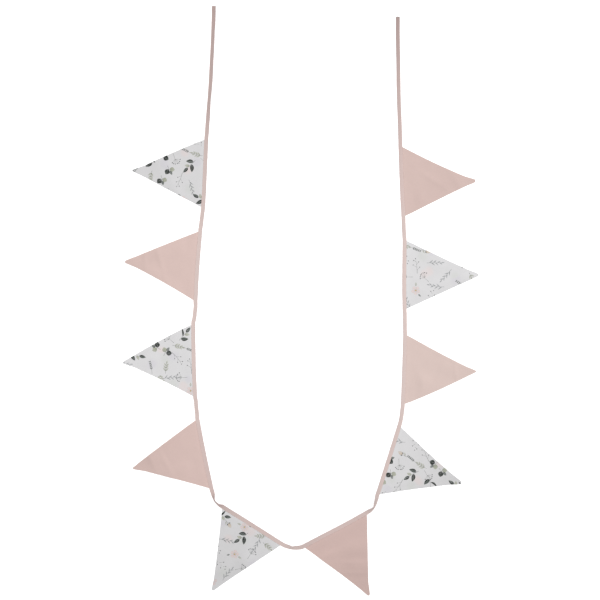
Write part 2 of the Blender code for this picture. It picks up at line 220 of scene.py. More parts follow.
def bare_run(name, start, end, start_heading, end_heading, shares, open_start, open_end):
    """Rows of (x, y, heading, roll, distance to the nearest pennant) where the binding is bare."""
    points, headings = smooth_run(start, end, start_heading, end_heading, shares)
    length = np.linalg.norm(end - start)
    from_start = shares * length if open_start else np.full(len(shares), 1.0)
    from_end = (1 - shares) * length if open_end else np.full(len(shares), 1.0)
    roll = np.radians(knot_value(ROLLS[name], shares))
    return np.column_stack((points, headings, roll, np.minimum(from_start, from_end)))


def carried_roll(name, distance):
    degrees, reach = CARRIED_ROLL.get(name, NO_ROLL)
    return np.radians(degrees * np.clip(1.0 - distance / reach, 0.0, None))


def lay_out():
    """The binding's rows, each pennant's leading corner on the fold, and each run's first and last rows."""
    corners, spans = {}, {}
    corner = FIRST_END + along(math.radians(FIRST_TIE_HEADINGS[1])) * FIRST_TIE
    heading = math.radians(PENNANTS[0].heading)
    rows = [bare_run("first_tie", FIRST_END, corner, math.radians(FIRST_TIE_HEADINGS[0]),
                     math.radians(PENNANTS[0].arrive), even_shares(FIRST_TIE), False, True)]
    spans["first_tie"] = (0, len(rows[0]))
    for pennant in PENNANTS:
        if pennant.gap:
            first = sum(map(len, rows))
            start = corner
            corner = start + along(math.radians(pennant.gap_heading)) * pennant.gap * MM
            heading = math.radians(pennant.heading)
            rows.append(bare_run(pennant.name, start, corner, math.radians(pennant.leave),
                                 math.radians(pennant.arrive), even_shares(pennant.gap * MM), True, True))
            spans[pennant.name.replace("pennant", "gap")] = (first, sum(map(len, rows)))
        corners[pennant.name] = corner
        width = pennant.width * MM
        places = even_shares(width) * width
        first = sum(map(len, rows))
        rows.append(np.column_stack((corner + along(heading) * places[:, None],
                                     np.full(len(places), heading),
                                     carried_roll(pennant.name, places), np.zeros(len(places)))))
        corner = corner + along(heading) * width
        spans[pennant.name] = (first, sum(map(len, rows)))
    end = corner + along(math.radians(LAST_TIE_HEADINGS[1])) * LAST_TIE
    shares = np.append(even_shares(LAST_TIE), 1.0)
    rows.append(bare_run("last_tie", corner, end, math.radians(LAST_TIE_LEAVE),
                         math.radians(LAST_TIE_HEADINGS[0]), shares, True, False))
    spans["last_tie"] = (sum(map(len, rows[:-1])), sum(map(len, rows)) - 1)
    return np.concatenate(rows), corners, spans


ROUTE, CORNERS, SPANS = lay_out()
ROUTE[:, 2] = np.unwrap(ROUTE[:, 2])
SOFTENING = np.array((1.0, 2.0, 3.0, 2.0, 1.0)) / 9.0       # over the rows beside a kink at a pennant's corner
ROUTE[2:-2, 2] = np.convolve(ROUTE[:, 2], SOFTENING, mode="valid")
ALONG = np.append(0.0, np.cumsum(np.linalg.norm(np.diff(ROUTE[:, :2], axis=0), axis=1)))
TOTAL = ALONG[-1]
RUNS = {name: (ALONG[first], ALONG[last]) for name, (first, last) in SPANS.items()}
TURNING = np.abs(np.gradient(ROUTE[:, 2], ALONG))


def ripple(place, periods, phase):
    """Uneven waves between -1 and 1 along a line."""
    total = sum(np.sin(2 * math.pi * place / period + phase * (index + 1.7))
                for index, period in enumerate(periods))
    return total / len(periods)


# ---- Binding

STRIP_WIDTH = 9.9 * MM           # from the fold to the open edges
# How far the strip lies towards the U's middle from its smooth line, evenly spaced along each run; millimetres
STRAYS = {
    "first_tie": (0.6, 0.6, 1.0, 0.9, 0.95, 1.2, 1.6, 1.9, 1.5, 0.9, 0.75),
    "pennant_01": (0.5, 0.75, 0.95, 1.1, 1.3, 0.9),
    "gap_02": (0.5, 0.9, 1.2),
    "pennant_02": (1.3, 0.8, 0.5, 0.5, 0.9, 1.7),
    "gap_03": (1.8, 1.2, 1.8),
    "pennant_03": (1.3, 0.6, 0.6, 0.4, 0.7, 1.6),
    "gap_04": (1.9, 1.1, 1.4),
    "pennant_04": (1.1, 0.6, 0.45, 0.5, 0.8, 1.4),
    "gap_05": (1.4, 1.1, 1.4, 1.5),
    "pennant_05": (0.8, 1.0, 1.0, 0.7, 0.5, 0.0),
    "gap_06": (0.3, 1.0, 0.5),
    "pennant_06": (0.0, 0.1, -0.2, -0.4, -0.2, 0.6),
    "gap_07": (1.2, 1.2, 0.9),
    "pennant_07": (0.1, 0.1, 0.0, -0.1, -0.15, -0.1),
    "gap_08": (-0.25, -0.05, 0.2),
    "pennant_08": (0.1, -0.1, -0.15, -0.2, 0.0, 0.3),
    "gap_09": (0.4, 0.1, -0.4),
    "pennant_09": (-0.1, 0.8, 1.0, 0.75, 0.5, 0.3),
    "gap_10": (0.2, 0.1, 0.0),
    "pennant_10": (0.1, 0.8, 0.7, 0.6, 0.3, 0.0),
    "last_tie": (-0.2, 0.0, 0.3, 0.8, 0.8, 0.4, 0.0, -0.1, 0.1, 0.25, 0.1),
}


def stray(place):
    """How far towards the U's middle the strip lies at distances along it."""
    knots = []
    for name, values in STRAYS.items():
        start, end = RUNS[name]
        shares = (np.arange(len(values)) + 0.5) / len(values)
        knots += [(start + share * (end - start), value * MM) for share, value in zip(shares, values)]
    return np.interp(place, *np.array(knots).T)


def half_height(place):
    """Half of the folded binding's height at distances along it."""
    free = np.interp(place, ALONG, ROUTE[:, 4])
    slot = SLOT_OPEN + (SLOT_CLOSED - SLOT_OPEN) * ease(free / SLOT_FADE)
    from_end = np.minimum(place, TOTAL - place)
    tab = 1.0 - ease((from_end - END_TAB) / (2.0 * MM))
    slot = slot + (SLOT_TURNED - SLOT_CLOSED) * tab * ease(from_end / END_ROUND)
    return slot / 2 + LEAF


def binding_place(place, inward, height):
    """World points from the distance along the fold, in from the open edges, and up from the middle."""
    fold = np.stack([np.interp(place, ALONG, ROUTE[:, axis]) for axis in (0, 1)], axis=-1)
    heading = np.interp(place, ALONG, ROUTE[:, 2])
    roll = np.interp(place, ALONG, ROUTE[:, 3])
    out = outward(heading)
    level = inward * np.cos(roll) - height * np.sin(roll)
    plan = fold + out * (STRIP_WIDTH - stray(place) - level)[..., None]
    rise = half_height(place) * np.cos(roll) + inward * np.sin(roll) + height * np.cos(roll)
    return np.concatenate((plan, np.maximum(rise, GROUND)[..., None]), axis=-1)


def leaf_relief(place, inward, side):
    """How far a leaf of the binding swells from flat; the stitching draws it down and puckers it."""
    share = np.clip(inward / STRIP_WIDTH, 0.0, 1.0)
    crown = CROWN * np.sin(math.pi * np.clip((share - 0.12) / 0.88, 0.0, 1.0))
    groove = STITCH_GROOVE * np.exp(-((inward - STITCH_IN) / GROOVE_WIDTH) ** 2)
    pull = 0.09 * MM * np.exp(-(inward / (3.6 * MM)) ** 2)
    drag = 0.05 * MM * np.sin(math.pi * share)
    puckers = (pull * ripple(place + 0.5 * side * MM, (7.3 * MM, 5.1 * MM, 11.9 * MM), side + 2.0)
               + drag * ripple(place + 1.1 * inward, (9.7 * MM, 14.3 * MM, 23.0 * MM), side + 5.0))
    turning = np.interp(place, ALONG, TURNING)
    crush = 0.16 * MM * np.clip(turning / 12.0, 0.0, 1.0) * share
    creases = crush * ripple(place + 0.6 * inward, (4.3 * MM, 6.9 * MM, 9.1 * MM), side + 1.0)
    slack = 0.8 * MM * ease(share) * np.clip(np.interp(place, ALONG, ROUTE[:, 4]) / SLOT_FADE, 0.0, 1.0)
    belly = slack * 0.3 * (1.0 + ripple(place, (61.0 * MM, 97.0 * MM), 3.0))
    return crown - groove + puckers + creases + belly * (1.0 if side > 0 else 0.2)


OUTER_SHARES = (0.016, 0.05, 0.1, 0.155, 0.2, 0.26, 0.36, 0.48, 0.6, 0.72, 0.83, 0.92)
ARC_ANGLES = (90.0, 66.0, 44.0, 22.0, 0.0, -22.0, -44.0, -66.0, -90.0)
INNER_SHARES = (0.016, 0.16, 0.45, 0.75)
INNER_ANGLES = (90.0, 0.0, -90.0)


def binding_loop(place):
    """The section of the folded strip at each distance along it: (in from the edges, up) for each point."""
    place = place[:, None]
    outer = half_height(place)
    slot = outer - LEAF
    bend = STRIP_WIDTH - outer
    from_end = np.minimum(place, TOTAL - place)
    closing = np.sqrt(np.clip(1.0 - (1.0 - np.clip(from_end / END_ROUND, 0.12, 1.0)) ** 2, 0.0, 1.0))
    sway = 0.13 * MM * ripple(place, (19.0 * MM, 33.0 * MM, 8.1 * MM), 1.3)
    ups, ins = [], []
    shares = np.array(OUTER_SHARES)[None, :]
    inner = np.array(INNER_SHARES)[None, :]
    angles = np.radians(np.array(ARC_ANGLES))[None, :]
    turn = np.radians(np.array(INNER_ANGLES))[None, :]
    top_in, low_in = shares * bend, shares[:, ::-1] * bend
    ins += [top_in, bend + outer * np.cos(angles), low_in]
    ups += [outer + leaf_relief(place, top_in, 1), outer * np.sin(angles),
            -outer - leaf_relief(place, low_in, -1)]
    ins.append(np.zeros_like(place))
    ups.append(-outer + LEAF / 2)
    low_inner, top_inner = inner * bend, inner[:, ::-1] * bend
    ins += [low_inner, bend + slot * np.cos(-turn), top_inner]
    ups += [-slot + np.zeros_like(low_inner), slot * np.sin(-turn), slot + np.zeros_like(top_inner)]
    ins.append(np.zeros_like(place))
    ups.append(outer - LEAF / 2)
    ins = np.concatenate(ins, axis=1)
    ups = np.concatenate(ups, axis=1) * closing
    cut = np.clip(1.0 - (TOTAL - place) / LAST_ROUND, 0.0, 1.0)
    drawn_in = LAST_ROUND * (1.0 - np.sqrt(1.0 - 0.97 * cut ** 2))
    ins = STRIP_WIDTH / 2 + (ins - STRIP_WIDTH / 2) * (1.0 - 2 * drawn_in / STRIP_WIDTH)
    return ins + sway * (0.4 + 0.6 * ins / STRIP_WIDTH), ups


def make_mesh(name, points, faces, smooth=True):
    mesh = bpy.data.meshes.new(name)
    mesh.from_pydata([tuple(point) for point in points], [], faces)
    if smooth:
        mesh.shade_smooth()
    return mesh


def add_object(name, mesh, materials):
    made = bpy.data.objects.new(name, mesh)
    bpy.context.scene.collection.objects.link(made)
    for material in materials:
        mesh.materials.append(material)
    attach(made, "root")
    return made


def point_vectors(mesh, name, values):
    mesh.attributes.new(name, "FLOAT_VECTOR", "POINT").data.foreach_set(
        "vector", np.asarray(values, np.float32).ravel())


def point_values(mesh, name, values):
    mesh.attributes.new(name, "FLOAT", "POINT").data.foreach_set("value", np.asarray(values, np.float32))


# Painted light and shade on the binding's cloth beside its common tone, at shares of its runs; it blends between
# them. It is painted darker towards the ends of the ties, and darkest at the rolled corners and at the last tie's
# turned-in end
BINDING_PAINTED_LIGHT = (
    ("first_tie", 0.0, 0.66), ("first_tie", 0.01, 0.64), ("first_tie", 0.1, 0.69), ("first_tie", 0.45, 0.735),
    ("first_tie", 0.85, 0.78), ("first_tie", 1.0, 0.86), ("pennant_01", 0.3, 0.90), ("pennant_01", 1.0, 0.95),
    ("pennant_02", 0.1, 1.0), ("pennant_02", 0.9, 1.01), ("gap_03", 0.5, 1.03), ("gap_04", 0.5, 1.01),
    ("pennant_04", 0.5, 0.985), ("gap_05", 0.0, 0.97), ("gap_05", 0.25, 0.90), ("gap_05", 0.48, 0.72),
    ("gap_05", 0.64, 0.56), ("gap_05", 0.82, 0.76), ("gap_05", 1.0, 0.83), ("pennant_05", 0.3, 0.94),
    ("gap_06", 0.0, 0.98), ("gap_06", 1.0, 0.91), ("pennant_06", 0.4, 0.98), ("pennant_06", 0.95, 0.955),
    ("gap_07", 0.3, 0.86), ("gap_07", 0.65, 0.87), ("gap_07", 1.0, 0.95), ("pennant_07", 0.4, 1.0),
    ("pennant_08", 0.5, 1.02), ("pennant_09", 0.5, 1.03), ("gap_10", 0.5, 0.99), ("pennant_10", 0.4, 0.96),
    ("pennant_10", 1.0, 0.90), ("last_tie", 0.2, 0.86), ("last_tie", 0.6, 0.75), ("last_tie", 0.9, 0.655),
    ("last_tie", 0.97, 0.61), ("last_tie", 0.988, 0.59), ("last_tie", 0.995, 0.52), ("last_tie", 1.0, 0.48),
)
# How much of its green and blue is left, by that painted lightness: the stretches painted darker are rosier
BINDING_WARMTH = ((0.5, 1.03), (0.6, 0.945), (0.78, 0.985), (0.9, 1.03))

# How much of its green and blue is left where the binding looks rosier than that
BINDING_ROSE = (
    ("gap_04", 1.0, 1.0), ("pennant_04", 0.2, 0.965), ("pennant_04", 0.9, 0.965), ("gap_05", 0.5, 0.965),
    ("pennant_05", 0.1, 1.0), ("pennant_05", 0.6, 0.975), ("gap_06", 0.5, 1.0), ("pennant_06", 0.2, 0.97),
    ("pennant_06", 0.9, 0.97), ("gap_07", 0.5, 1.01), ("pennant_07", 0.2, 1.0), ("gap_10", 1.0, 1.0),
    ("pennant_10", 0.2, 0.97), ("pennant_10", 1.0, 0.965), ("last_tie", 0.3, 0.98), ("last_tie", 0.6, 1.0),
)


def knots_along(rows):
    """Places along the binding, and values there, from rows of run, share of the run, value."""
    return np.array([(RUNS[name][0] + share * (RUNS[name][1] - RUNS[name][0]), value)
                     for name, share, value in rows]).T


def binding_painted_light_and_tint(place):
    """Painted light and shade at distances along the binding, with the rosier tint that goes with the painted shade
    and the places where the cloth is rosier.
    """
    light = np.interp(place, *knots_along(BINDING_PAINTED_LIGHT))
    warm = light * np.interp(light, *np.array(BINDING_WARMTH).T) * np.interp(place, *knots_along(BINDING_ROSE))
    return np.column_stack((light, warm, warm))


def make_binding(materials):
    ends = np.array((0.0, 0.12, 0.4, 0.8)) * MM
    middle = ALONG[(ALONG > 1.4 * MM) & (ALONG < TOTAL - 1.4 * MM)]
    place = np.concatenate((ends, middle, TOTAL - ends[::-1]))
    ins, ups = binding_loop(place)
    stations, count = ins.shape
    spread = np.repeat(place[:, None], count, axis=1)
    points = binding_place(spread, ins, ups).reshape(-1, 3)
    faces = []
    for row in range(stations - 1):
        low, high = row * count, (row + 1) * count
        for index in range(count):
            following = (index + 1) % count
            faces.append((low + index, low + following, high + following, high + index))
    faces.append(tuple(reversed(range(count))))
    faces.append(tuple(range((stations - 1) * count, stations * count)))
    mesh = make_mesh("binding_cloth", points, [tuple(reversed(face)) for face in faces])
    signed = np.where(ups < 0, 2 * STRIP_WIDTH - ins, ins)
    point_vectors(mesh, "cloth", np.stack((spread, signed, np.zeros_like(ins)), axis=-1).reshape(-1, 3))
    point_values(mesh, "edge", ins.ravel())
    # The binding's painted light and shade, with its tints, go into the shade attribute
    point_vectors(mesh, "shade", np.repeat(binding_painted_light_and_tint(place), count, axis=0))
    return add_object("binding_cloth", mesh, materials)


STITCH_SHARES = (-0.5, -0.36, 0.0, 0.36, 0.5)
STITCH_GIRTH = (0.45, 0.9, 1.0, 0.9, 0.45)
STITCH_RISE = (-0.9, 0.35, 0.6, 0.35, -0.9)
STITCH_SIDES = 6


def stitch_points(place, inward, side, turned):
    """Points of short capsules of thread, one for each place, lying on one leaf of the binding."""
    angles = 2 * math.pi * np.arange(STITCH_SIDES) / STITCH_SIDES
    shares = np.concatenate(([-0.55], np.repeat(STITCH_SHARES, STITCH_SIDES), [0.55]))
    girth = np.concatenate(([0.0], np.repeat(STITCH_GIRTH, STITCH_SIDES), [0.0]))
    rise = np.concatenate(([-1.2], np.repeat(STITCH_RISE, STITCH_SIDES), [-1.2]))
    angle = np.concatenate(([0.0], np.tile(angles, len(STITCH_SHARES)), [0.0]))
    length = shares * STITCH_LENGTH
    across = girth * np.cos(angle) * THREAD_RADIUS
    up = (girth * np.sin(angle) + rise) * THREAD_RADIUS
    if turned:
        length, across = across, length
    spread = place[:, None] + length[None, :]
    inside = inward[:, None] + across[None, :]
    surface = half_height(spread) + leaf_relief(spread, inside, side)
    return binding_place(spread, inside, side * (surface + up[None, :]))


def stitch_faces(count):
    rings = len(STITCH_SHARES)
    per = rings * STITCH_SIDES + 2
    single = []
    for side in range(STITCH_SIDES):
        following = (side + 1) % STITCH_SIDES
        single.append((0, 1 + following, 1 + side))
        for ring in range(rings - 1):
            low, high = 1 + ring * STITCH_SIDES, 1 + (ring + 1) * STITCH_SIDES
            single.append((low + side, low + following, high + following, high + side))
        last = 1 + (rings - 1) * STITCH_SIDES
        single.append((last + side, last + following, per - 1))
    return [tuple(index + number * per for index in face) for number in range(count) for face in single]


def make_stitching(name, side, materials):
    count = int((TOTAL - 5.0 * MM) / STITCH_PITCH)
    place = 2.5 * MM + (np.arange(count) + 0.5 * (side < 0)) * STITCH_PITCH
    runs = [stitch_points(place, np.full(count, STITCH_IN), side, False)]
    rungs = STITCH_IN + STITCH_PITCH * np.array((0.7, 1.7))
    for end in (2.4 * MM, TOTAL - 2.4 * MM):
        runs.append(stitch_points(np.full(len(rungs), end), rungs, side, True))
    points = np.concatenate(runs)
    faces = stitch_faces(len(points))
    if side < 0:
        faces = [tuple(reversed(face)) for face in faces]
    mesh = make_mesh(name, points.reshape(-1, 3), faces)
    return add_object(name, mesh, materials)


# ---- Pennants

def edge_places(pennant, down):
    """Where the two slanted edges cross distances down from the fold."""
    width, drop = pennant.width * MM, pennant.drop * MM
    share = down / drop
    swell = 4 * share * (1 - share) - 2 / 3
    tip = pennant.tip_share * width
    let_lead, let_trail = LET_OUT[pennant.name]
    let = ease((down - BINDING_WIDTH) / (20 * MM)) * ease((drop - down) / (30 * MM))
    lead = tip * share - (pennant.bow_lead * swell + let_lead * let) * MM
    trail = width + (tip - width) * share + (pennant.bow_trail * swell + let_trail * let) * MM
    return lead, trail


def outline_of(pennant):
    """The pennant's outline in its own plan, from the leading top corner across, and back up to it."""
    width, drop = pennant.width * MM, pennant.drop * MM
    half_angle = math.atan2(width / 2, drop)
    arc_start = drop - TIP_RADIUS * math.cos(half_angle) ** 2 / math.sin(half_angle)
    lead, trail = edge_places(pennant, TUCK)
    steps = round((trail - lead) / TOP_STEP)
    top = np.stack((np.linspace(lead, trail, steps + 1), np.full(steps + 1, TUCK)), axis=-1)
    steps = round((arc_start - TUCK) / math.cos(half_angle) / OUTLINE_STEP)
    downs = np.linspace(TUCK, arc_start, steps + 1)
    phase = float(PENNANTS.index(pennant))
    wobble = 0.16 * MM * ease((downs - TUCK) / (14 * MM)) * ease((arc_start - downs) / (6 * MM))
    leads, trails = edge_places(pennant, downs)
    leads = leads - wobble * ripple(downs, (11.0 * MM, 17.3 * MM, 31.0 * MM), phase + 0.4)
    trails = trails + wobble * ripple(downs, (12.7 * MM, 19.1 * MM, 37.0 * MM), phase + 2.9)
    lead, trail = leads[-1], trails[-1]
    spread = math.pi / 2 - half_angle
    angles = np.linspace(spread, -spread, 13)[1:-1]
    centre_down = drop - TIP_RADIUS / math.sin(half_angle)
    arc = np.stack(((lead + trail) / 2 + TIP_RADIUS * np.sin(angles),
                    centre_down + TIP_RADIUS * np.cos(angles)), axis=-1)
    down_edge = np.stack((trails, downs), axis=-1)[1:]
    up_edge = np.stack((leads, downs), axis=-1)[1:][::-1]
    whole = np.concatenate((top, down_edge, arc, up_edge))
    poked = ease((POKE_FROM - (drop - whole[:, 1])) / (POKE_FROM - POKE_WHOLE))
    reach, aside = TIP_POKES[pennant.name]
    return whole + poked[:, None] * np.array((aside, reach)) * MM, len(top)


def inset(outline, distance):
    """The closed outline moved inwards; its points run clockwise in (across, down)."""
    step = np.roll(outline, -1, axis=0) - outline
    normal = np.stack((-step[:, 1], step[:, 0]), axis=-1)
    normal /= np.linalg.norm(normal, axis=1)[:, None]
    mean = normal + np.roll(normal, 1, axis=0)
    mean /= np.linalg.norm(mean, axis=1)[:, None]
    miter = np.clip(np.sum(mean * normal, axis=1), 0.5, 1.0)
    return outline + mean * (distance / miter)[:, None]


def edge_distance(points, line):
    """Distance from each point to a polyline."""
    start, step = line[:-1], np.diff(line, axis=0)
    nearest = np.full(len(points), 1.0)
    for origin, run in zip(start, step):
        offset = points - origin
        share = np.clip(offset @ run / (run @ run), 0.0, 1.0)
        nearest = np.minimum(nearest, np.linalg.norm(offset - share[:, None] * run, axis=1))
    return nearest


class Cloth:
    """Heights of one pennant's two faces over its own plan."""

    def __init__(self, pennant):
        self.pennant = pennant
        self.phase = float(PENNANTS.index(pennant))
        self.outline, self.top_count = outline_of(pennant)
        # The slanted edges and the tip, without the top edge inside the binding, on a coarser line
        sewn = np.concatenate((self.outline[self.top_count - 1:], self.outline[:1]))
        self.sewn = np.concatenate((sewn[:1], sewn[1:-1:3], sewn[-1:]))

    def ridges(self, across, down):
        width, drop = self.pennant.width * MM, self.pennant.drop * MM
        height = np.zeros_like(across)
        for share, depth, turn, rise, reach in RIDGES[self.pennant.name]:
            turn = math.radians(turn)
            distance = (down - depth * drop) * math.cos(turn) - (across - share * width) * math.sin(turn)
            length = (across - share * width) * math.cos(turn) + (down - depth * drop) * math.sin(turn)
            uneven = 0.72 + 0.28 * np.sin(length / RIDGE_SWELL + 9.0 * depth + 5.0 * share)
            bell = np.exp(-(distance / (reach * MM)) ** 2)
            height += uneven * rise * MM * np.clip(bell - RIDGE_FOOT, 0.0, None) / (1.0 - RIDGE_FOOT)
        return height * ease((down - RIDGE_CLEAR) / RIDGE_RISE)

    def tone(self, points):
        """Painted light and shade: crease slopes painted lighter facing LIGHT_SIDE and darker facing away, and
        painted light on the strip beside the binding.
        """
        across, down = points[:, 0], points[:, 1]
        step = 0.5 * MM
        slope_across = (self.ridges(across + step, down) - self.ridges(across - step, down)) / (2 * step)
        slope_down = (self.ridges(across, down + step) - self.ridges(across, down - step)) / (2 * step)
        heading = math.radians(self.pennant.heading)
        light = np.array(LIGHT_SIDE)
        facing = -(slope_across * (along(heading) @ light) + slope_down * (outward(heading) @ light))
        beyond = np.clip(down - BINDING_WIDTH, 0.0, None)
        return (1.0 + RIDGE_PAINTED_LIGHT * facing) * (1.0 + NEAR_PAINTED_LIGHT * np.exp(-beyond / NEAR_REACH))

    def faces(self, points):
        """(bottom, top, distance from the sewn edges) at points of the plan."""
        across, down = points[:, 0], points[:, 1]
        edge = edge_distance(points, self.sewn)
        thick = (BODY_THICK + BAND_THICK * (1.0 - ease((edge - BAND_INNER) / (BAND_OUTER - BAND_INNER)))
                 + ROLL_THICK * np.exp(-((edge - ROLL_AT) / ROLL_REACH) ** 2))
        roll = carried_roll(self.pennant.name, np.clip(across, 0.0, None))
        level = (SLOT_OPEN / 2 + LEAF) * np.cos(roll)
        beyond = np.clip(down - BINDING_WIDTH, 0.0, None)
        dip = np.tan(roll) * beyond * (1.0 - ease(beyond / SETTLE_TURN))
        lift = (level - thick / 2) * (1.0 - ease(beyond / SETTLE_REACH)) - dip
        middle = thick / 2 + np.clip(lift, 0.0, None) + self.ridges(across, down)
        clear = ease(beyond / (10 * MM))
        place = across + down
        seam = 0.13 * MM * np.exp(-(edge / (5.5 * MM)) ** 2)
        puckers = seam * ripple(down + 0.35 * across, (7.9 * MM, 5.7 * MM, 12.3 * MM), self.phase + 1.1)
        rest = (0.16 * MM * ripple(across + 0.4 * down, (47 * MM, 29 * MM, 71 * MM), self.phase + 0.7)
                + 0.14 * MM * ripple(down - 0.5 * across, (53 * MM, 34 * MM, 83 * MM), self.phase + 3.1))
        drawn = 0.1 * MM * np.exp(-beyond / (9 * MM)) * ripple(across, (9.3 * MM, 14 * MM, 6.1 * MM), self.phase)
        middle = middle + clear * (puckers + rest + drawn)
        bottom = np.maximum(middle - thick / 2, GROUND)
        top = np.maximum(middle + thick / 2, bottom + thick)
        return bottom, top, edge

    def slopes(self, points, top):
        """Unit normals of one face."""
        step = 0.15 * MM
        side = 1 if top else 0
        rise = []
        for shift in ((step, 0.0), (0.0, step)):
            ahead = self.faces(points + np.array(shift))[side]
            behind = self.faces(points - np.array(shift))[side]
            rise.append((ahead - behind) / (2 * step))
        normal = np.stack((-rise[0], -rise[1], np.ones(len(points))), axis=-1)
        if not top:
            normal = -normal
        return normal / np.linalg.norm(normal, axis=1)[:, None]


# ---- Print: small botanical motifs of this file's own drawing, laid out over a repeat

Shape = namedtuple("Shape", "points inner origin axis length base tip strength fade")


def srgb(red, green, blue):
    """Linear colour of cloth that reads as this colour under the scene's light."""
    share = np.array((red, green, blue)) / 255
    return tuple(np.where(share <= 0.04045, share / 12.92, ((share + 0.055) / 1.055) ** 2.4) / LIGHT_LEVEL)


LIGHT_LEVEL = 1.12
INKS = {
    "dark": (srgb(24, 30, 26), srgb(56, 64, 58)),
    "slate": (srgb(56, 65, 60), srgb(102, 110, 104)),
    "sage": (srgb(148, 152, 134), srgb(186, 188, 172)),
    "mist": (srgb(146, 149, 150), srgb(176, 178, 180)),
    "stem": (srgb(124, 127, 124), srgb(148, 151, 148)),
    "berry": (srgb(44, 46, 48), srgb(76, 78, 81)),
    "tan": (srgb(186, 165, 138), srgb(206, 190, 168)),
    "ochre": (srgb(186, 150, 96), srgb(204, 176, 130)),
    "petal": (srgb(219, 190, 185), srgb(224, 206, 202)),
}
WASHES = (srgb(206, 203, 210), srgb(224, 209, 207), srgb(207, 209, 205))


def turned(points, origin, angle):
    c, s = math.cos(angle), math.sin(angle)
    return np.asarray(points) @ np.array(((c, s), (-s, c))) + np.asarray(origin)


def add_shape(shapes, local, origin, angle, ink, strength=(0.95, 0.85), inner=None, fade=0.0):
    """One closed inked outline, drawn along +x from its base; millimetres."""
    local = np.asarray(local, float)
    base, tip = INKS[ink]
    shapes.append(Shape(turned(local, origin, angle),
                        None if inner is None else turned(inner, origin, angle),
                        np.asarray(origin, float), np.array((math.cos(angle), math.sin(angle))),
                        local[:, 0].max(), base, tip, strength, fade))


def leaf_sides(length, width, belly, bend, steps):
    share = np.linspace(0.0, 1.0, steps)
    half = width / 2 * np.sin(math.pi * share ** belly) ** 0.85
    spine = bend * 4 * share * (1 - share)
    return share * length, spine, half


def leaf(shapes, origin, angle, length, width, ink, belly=0.8, bend=0.0, steps=11, **words):
    along_leaf, spine, half = leaf_sides(length, width, belly, bend, steps)
    upper = np.stack((along_leaf, spine + half), axis=-1)
    lower = np.stack((along_leaf, spine - half), axis=-1)[1:-1][::-1]
    inner = None
    if width > 2.6:
        keep = slice(2, -2, 2)
        inner = np.concatenate((np.stack((along_leaf, spine + 0.6 * half), axis=-1)[keep],
                                np.stack((along_leaf, spine - 0.6 * half), axis=-1)[keep][::-1]))
    add_shape(shapes, np.concatenate((upper, lower)), origin, angle, ink, inner=inner, **words)


def split_leaf(shapes, origin, angle, length, width, inks, belly=0.8, bend=0.0, steps=15, vein=0.3):
    """A leaf in two halves with a bare vein between them."""
    along_leaf, spine, half = leaf_sides(length, width, belly, bend, steps)
    for sign, ink in zip((1, -1), inks):
        gap = np.minimum(vein / 2 * (1.2 - along_leaf / length), half * 0.8)
        rim = np.stack((along_leaf, spine + sign * half), axis=-1)
        rib = np.stack((along_leaf, spine + sign * gap), axis=-1)[1:-1][::-1]
        keep = slice(2, -2, 2)
        inner = np.stack((along_leaf, spine + sign * half * 0.62), axis=-1)[keep]
        add_shape(shapes, np.concatenate((rim, rib)), origin, angle, ink, inner=inner,
                  strength=(1.0, 1.0), fade=0.0)


def stem(shapes, line, start_width, end_width, ink="stem", strength=(0.9, 0.8)):
    """A thin tapering line through points."""
    line = np.asarray(line, float)
    step = np.gradient(line, axis=0)
    normal = np.stack((-step[:, 1], step[:, 0]), axis=-1) / np.linalg.norm(step, axis=1)[:, None]
    width = np.linspace(start_width, end_width, len(line))[:, None] / 2
    points = np.concatenate((line + normal * width, (line - normal * width)[::-1]))
    base, tip = INKS[ink]
    reach = line[-1] - line[0]
    shapes.append(Shape(points, None, line[0], reach / np.linalg.norm(reach), np.linalg.norm(reach),
                        base, tip, strength, 0.0))


def dot(shapes, centre, radius, ink, sides=10, strength=(0.95, 0.9)):
    angles = 2 * math.pi * np.arange(sides) / sides
    local = radius * np.stack((np.cos(angles) + 1.0, 0.94 * np.sin(angles)), axis=-1)
    add_shape(shapes, local, np.asarray(centre) - np.array((radius, 0.0)), 0.0, ink, strength=strength)


def arc_at(length, curve, share):
    """Point and direction on a motif's curved stem."""
    return np.array((share * length, curve * share ** 2)), math.atan2(2 * curve * share, length)


def arc_stem(shapes, length, curve, widths, ink="stem", steps=9):
    line = np.stack([arc_at(length, curve, share)[0] for share in np.linspace(0.0, 1.0, steps)])
    stem(shapes, line, *widths, ink=ink)


def laurel(shapes, pick):
    """Dark pointed leaves on a curved stem, and a sage one."""
    length, curve = 26.0, pick.uniform(-6.0, 6.0)
    arc_stem(shapes, length, curve, (1.0, 0.6))
    rows = ((0.2, 1, 19.0, 9.2, ("dark", "slate")), (0.5, -1, 20.0, 9.6, ("dark", "dark")),
            (1.0, 0, 17.0, 8.0, ("slate", "dark")))
    for share, sign, reach, width, inks in rows:
        at, way = arc_at(length, curve, share)
        way += sign * (0.82 + pick.uniform(-0.1, 0.1))
        split_leaf(shapes, at + along(way) * (0.9 if sign else 0.2), way, reach, width, inks, bend=0.8 * sign)
    at, way = arc_at(length, curve, 0.74)
    leaf(shapes, at + along(way + 0.9) * 0.8, way + 0.9, 12.5, 6.8, "sage", bend=-0.8, fade=0.1)


def round_pair(shapes, pick):
    """A pair of rounded leaves, dark and sage, with a small one between."""
    arc_stem(shapes, 13.0, pick.uniform(-2.0, 2.0), (0.95, 0.6))
    split_leaf(shapes, (9.0, 1.2), 1.05, 14.5, 13.0, ("dark", "dark"), belly=0.95)
    split_leaf(shapes, (9.4, -1.0), -0.9, 13.0, 11.6, ("sage", "sage"), belly=0.95)
    leaf(shapes, (14.2, 0.0), 0.05, 11.0, 6.4, "slate", belly=0.9, fade=0.1)


